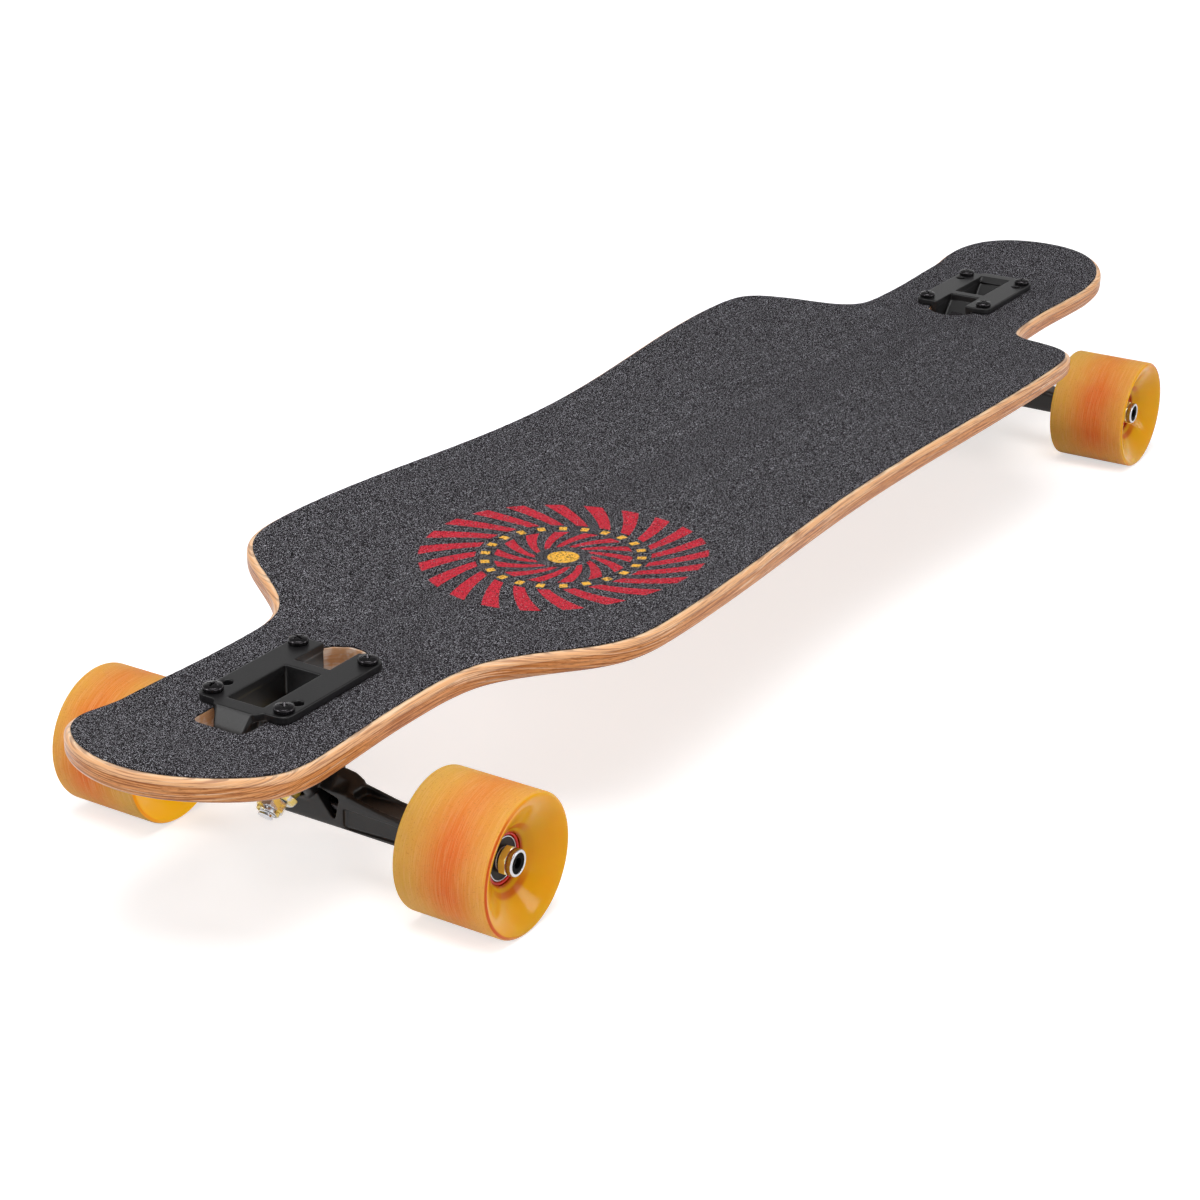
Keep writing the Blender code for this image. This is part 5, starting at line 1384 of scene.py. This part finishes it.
class BuildAxles(bpy.types.Operator):
    """Build the axles, their locknuts with nylon inserts, speed rings and spacers"""
    bl_idname = "longboard.axles"
    bl_label = "Axles"

    def execute(self, context):
        sizes, steel = context.scene.truck_sizes, finish_for("steel")
        for end, sign in ENDS:
            body = f"{end}_hanger"
            start, tip = NUT_LOW - 3 * MM, AXLE_HALF + MM
            axle = rod_mesh(f"{end}_axle_rod", AXLE_RADIUS, -AXLE_HALF, AXLE_HALF,
                            ((start, tip), (-tip, -start)), sizes.pitch, axle_frame(sign))
            # The axle is black steel; its black also stands in for the shade at its ends, deep in the nuts' mouths.
            piece(axle.name, axle, finish_for("black"), body, "black_steel", f"{end}_axle")
            for side_name, side in SIDES:
                name = f"{end}_{side_name}"
                nut = nut_mesh(f"{name}_axle_locknut", NUT_FLATS, NUT_HIGH - NUT_LOW, sizes.collar, NUT_BORE,
                               axle_frame(sign, side, NUT_HIGH) @ TURNED_OVER, collar_share=1.03)
                piece(nut.name, nut, finish_for("plated"), body, "bright_steel", f"{name}_axle_nut")
                # The insert is black nylon; its black also stands in for the shade in the nut's mouth.
                insert = sleeve_mesh(f"{name}_nut_insert", *INSERT, NUT_HIGH - INSERT_INSET[0],
                                     NUT_HIGH - INSERT_INSET[1], axle_frame(sign, side))
                piece(insert.name, insert, finish_for("insert"), body, "pivot_cup_urethane")
                middle = axle_frame(sign, side, WHEEL_Y)
                rings = ((f"{name}_outer_speed_ring", RING_START, RING_START + SPEED_RING),
                         (f"{name}_inner_speed_ring", -RING_START - SPEED_RING, -RING_START),
                         (f"{name}_bearing_spacer", -SPACER_HALF, SPACER_HALF))
                for ring, low, high in rings:
                    mesh = sleeve_mesh(ring, SPACER_RADIUS, SPACER_BORE, low, high, middle)
                    piece(ring, mesh, steel, body, "bright_steel")
        return {"FINISHED"}


class BuildWheels(bpy.types.Operator):
    """Build the four urethane wheels"""
    bl_idname = "longboard.wheels"
    bl_label = "Wheels"

    def execute(self, context):
        for end, sign in ENDS:
            for side_name, side in SIDES:
                node = f"{end}_{side_name}_wheel"
                mesh = wheel_mesh(f"{end}_{side_name}_tyre", context.scene.wheel_sizes,
                                  axle_frame(sign, side, WHEEL_Y))
                piece(mesh.name, mesh, finish_for("urethane"), node, "wheel_urethane", node)
        return {"FINISHED"}


class BuildHubs(bpy.types.Operator):
    """Build the wheel cores and the eight bearings"""
    bl_idname = "longboard.hubs"
    bl_label = "Cores and bearings"

    def execute(self, context):
        for end, sign in ENDS:
            for side_name, side in SIDES:
                name = f"{end}_{side_name}"
                core = core_mesh(f"{name}_hub", axle_frame(sign, side, WHEEL_Y))
                piece(core.name, core, finish_for("core"), f"{name}_wheel", "wheel_core_plastic",
                      f"{name}_wheel_core")
                for place, way in (("outer", 1), ("inner", -1)):
                    shift = WHEEL_Y + way * (BEARING_START + BEARING_WIDTH / 2)
                    bearing = bearing_mesh(f"{name}_{place}_ball_bearing", axle_frame(sign, side, shift))
                    piece(bearing.name, bearing, finish_for("bearing"), f"{name}_wheel", "bearing_steel",
                          f"{name}_{place}_bearing")
        return {"FINISHED"}


def lamp(name, place, target, size, power):
    """A square area lamp that faces a target."""
    light = bpy.data.lights.new(name, "AREA")
    light.size = size
    light.energy = power
    thing = bpy.data.objects.new(name, light)
    back = np.array(place, float) - np.array(target, float)
    direction = Matrix.Translation(place)
    thing.matrix_world = direction @ Vector(back).to_track_quat("Z", "Y").to_matrix().to_4x4()
    bpy.context.scene.collection.objects.link(thing)


class BuildStage(bpy.types.Operator):
    """Build the floor, the light and the camera"""
    bl_idname = "longboard.stage"
    bl_label = "Floor, light and camera"

    def execute(self, context):
        scene = context.scene
        settings = scene.board_stage
        self.floor()
        self.world(settings.surround)
        for name, place, target, size, share in LAMPS:
            lamp(name, place, target, size, settings.key * share)
        self.camera(scene, settings)
        scene.view_settings.view_transform = "Standard"
        return {"FINISHED"}

    def floor(self):
        """A wide pale floor that keeps the board's shadow and is white elsewhere."""
        half = 20.0
        mesh = bpy.data.meshes.new("floor")
        mesh.from_pydata([(-half, -half, 0), (half, -half, 0), (half, half, 0), (-half, half, 0)], [],
                         [(0, 1, 2, 3)])
        floor = bpy.data.objects.new("floor", mesh)
        bpy.context.scene.collection.objects.link(floor)
        finish = Finish("pale_floor")
        rays = finish.node("ShaderNodeLightPath", output=None)
        seen = finish.math("MINIMUM", rays[SEEN] + rays[GLOSSY] + rays[THROUGH], 1.0)
        paper = finish.node("ShaderNodeBsdfDiffuse", {"Color": (0.72, 0.72, 0.73, 1)})
        x, y, _ = finish.split(finish.place())
        far = finish.step(finish.math("SQRT", x * x + y * y), 0.9, 2.4)
        glow = finish.node("ShaderNodeEmission", {"Color": (1, 1, 1, 1), "Strength": seen * (far * 0.4 + 0.6)})
        both = finish.node("ShaderNodeAddShader", {0: paper, 1: glow})
        finish.node("ShaderNodeOutputMaterial", {"Surface": both})
        mesh.materials.append(finish.material)

    def world(self, surround):
        """White to the camera, white fading to grey overhead in reflections, and an even light to the rest."""
        world = bpy.data.worlds.new("studio")
        bpy.context.scene.world = world
        world.use_nodes = True
        finish = Finish("studio", world.node_tree)
        rays = finish.node("ShaderNodeLightPath", output=None)
        height = finish.split(finish.node("ShaderNodeTexCoord"))[2]
        mirrored = finish.math("MINIMUM", rays[GLOSSY] + rays[THROUGH], 1.0)
        dimmed = 1 - finish.step(height, 0.0, 0.6) * 0.75
        level = rays[SEEN] + mirrored * dimmed + (1 - rays[SEEN]) * (1 - mirrored) * surround
        shader = finish.node("ShaderNodeBackground", {"Color": (1, 1, 1, 1), "Strength": level})
        finish.node("ShaderNodeOutputWorld", {"Surface": shader})

    def camera(self, scene, settings):
        """The photograph's view, worked out for an image 1200 pixels square.

        Back points from the board to the camera by azimuth and elevation; the roll turns right and up.
        The lens axis meets the image left of and above its middle, which the shift gives back.
        """
        image = 1200
        axis_across, axis_down = 554.4, 586.4
        azimuth, elevation, roll = settings.azimuth, settings.elevation, settings.roll
        back = np.array((math.cos(elevation) * math.cos(azimuth), math.cos(elevation) * math.sin(azimuth),
                         math.sin(elevation)))
        level = np.array((-math.sin(azimuth), math.cos(azimuth), 0))
        upright = np.cross(back, level)
        right = level * math.cos(roll) + upright * math.sin(roll)
        up = np.cross(back, right)
        data = bpy.data.cameras.new("camera")
        data.sensor_width = 36
        data.lens = settings.focal
        data.shift_x = (image / 2 - axis_across) / image
        data.shift_y = (axis_down - image / 2) / image
        data.clip_end = 100
        camera = bpy.data.objects.new("camera", data)
        turn = np.eye(4)
        turn[:3, :3] = np.column_stack((right, up, back))
        turn[:3, 3] = settings.place
        camera.matrix_world = Matrix(turn.tolist())
        scene.collection.objects.link(camera)
        scene.camera = camera


class LongboardPanel(bpy.types.Panel):
    """Lists the build steps of the longboard"""
    bl_idname = "VIEW3D_PT_longboard"
    bl_label = "Longboard"
    bl_space_type = "VIEW_3D"
    bl_region_type = "UI"
    bl_category = "Longboard"

    def draw(self, context):
        for step in STEPS:
            self.layout.operator(step.bl_idname)
        for group, kind in GROUPS.items():
            box = self.layout.box()
            box.label(text=kind.__doc__)
            for name in kind.__annotations__:
                box.prop(getattr(context.scene, group), name)


GROUPS = {"board_sizes": BoardSizes, "truck_sizes": TruckSizes, "wheel_sizes": WheelSizes,
          "board_colours": BoardColours, "board_stage": StageSettings}
STEPS = (BuildDeck, BuildGrip, BuildBaseplates, BuildHangers, BuildKingpins, BuildBushings,
         BuildMountingHardware, BuildAxles, BuildWheels, BuildHubs, BuildStage)
CLASSES = (*GROUPS.values(), *STEPS, LongboardPanel)


def register():
    for kind in CLASSES:
        bpy.utils.register_class(kind)
    for group, kind in GROUPS.items():
        setattr(bpy.types.Scene, group, bpy.props.PointerProperty(type=kind))


def unregister():
    for group in GROUPS:
        delattr(bpy.types.Scene, group)
    for kind in reversed(CLASSES):
        bpy.utils.unregister_class(kind)


def main():
    """Register the add-on, and build every piece and the stage."""
    register()
    for step in STEPS:
        getattr(bpy.ops.longboard, step.bl_idname.split(".")[1])()


if __name__ == "__main__":
    main()
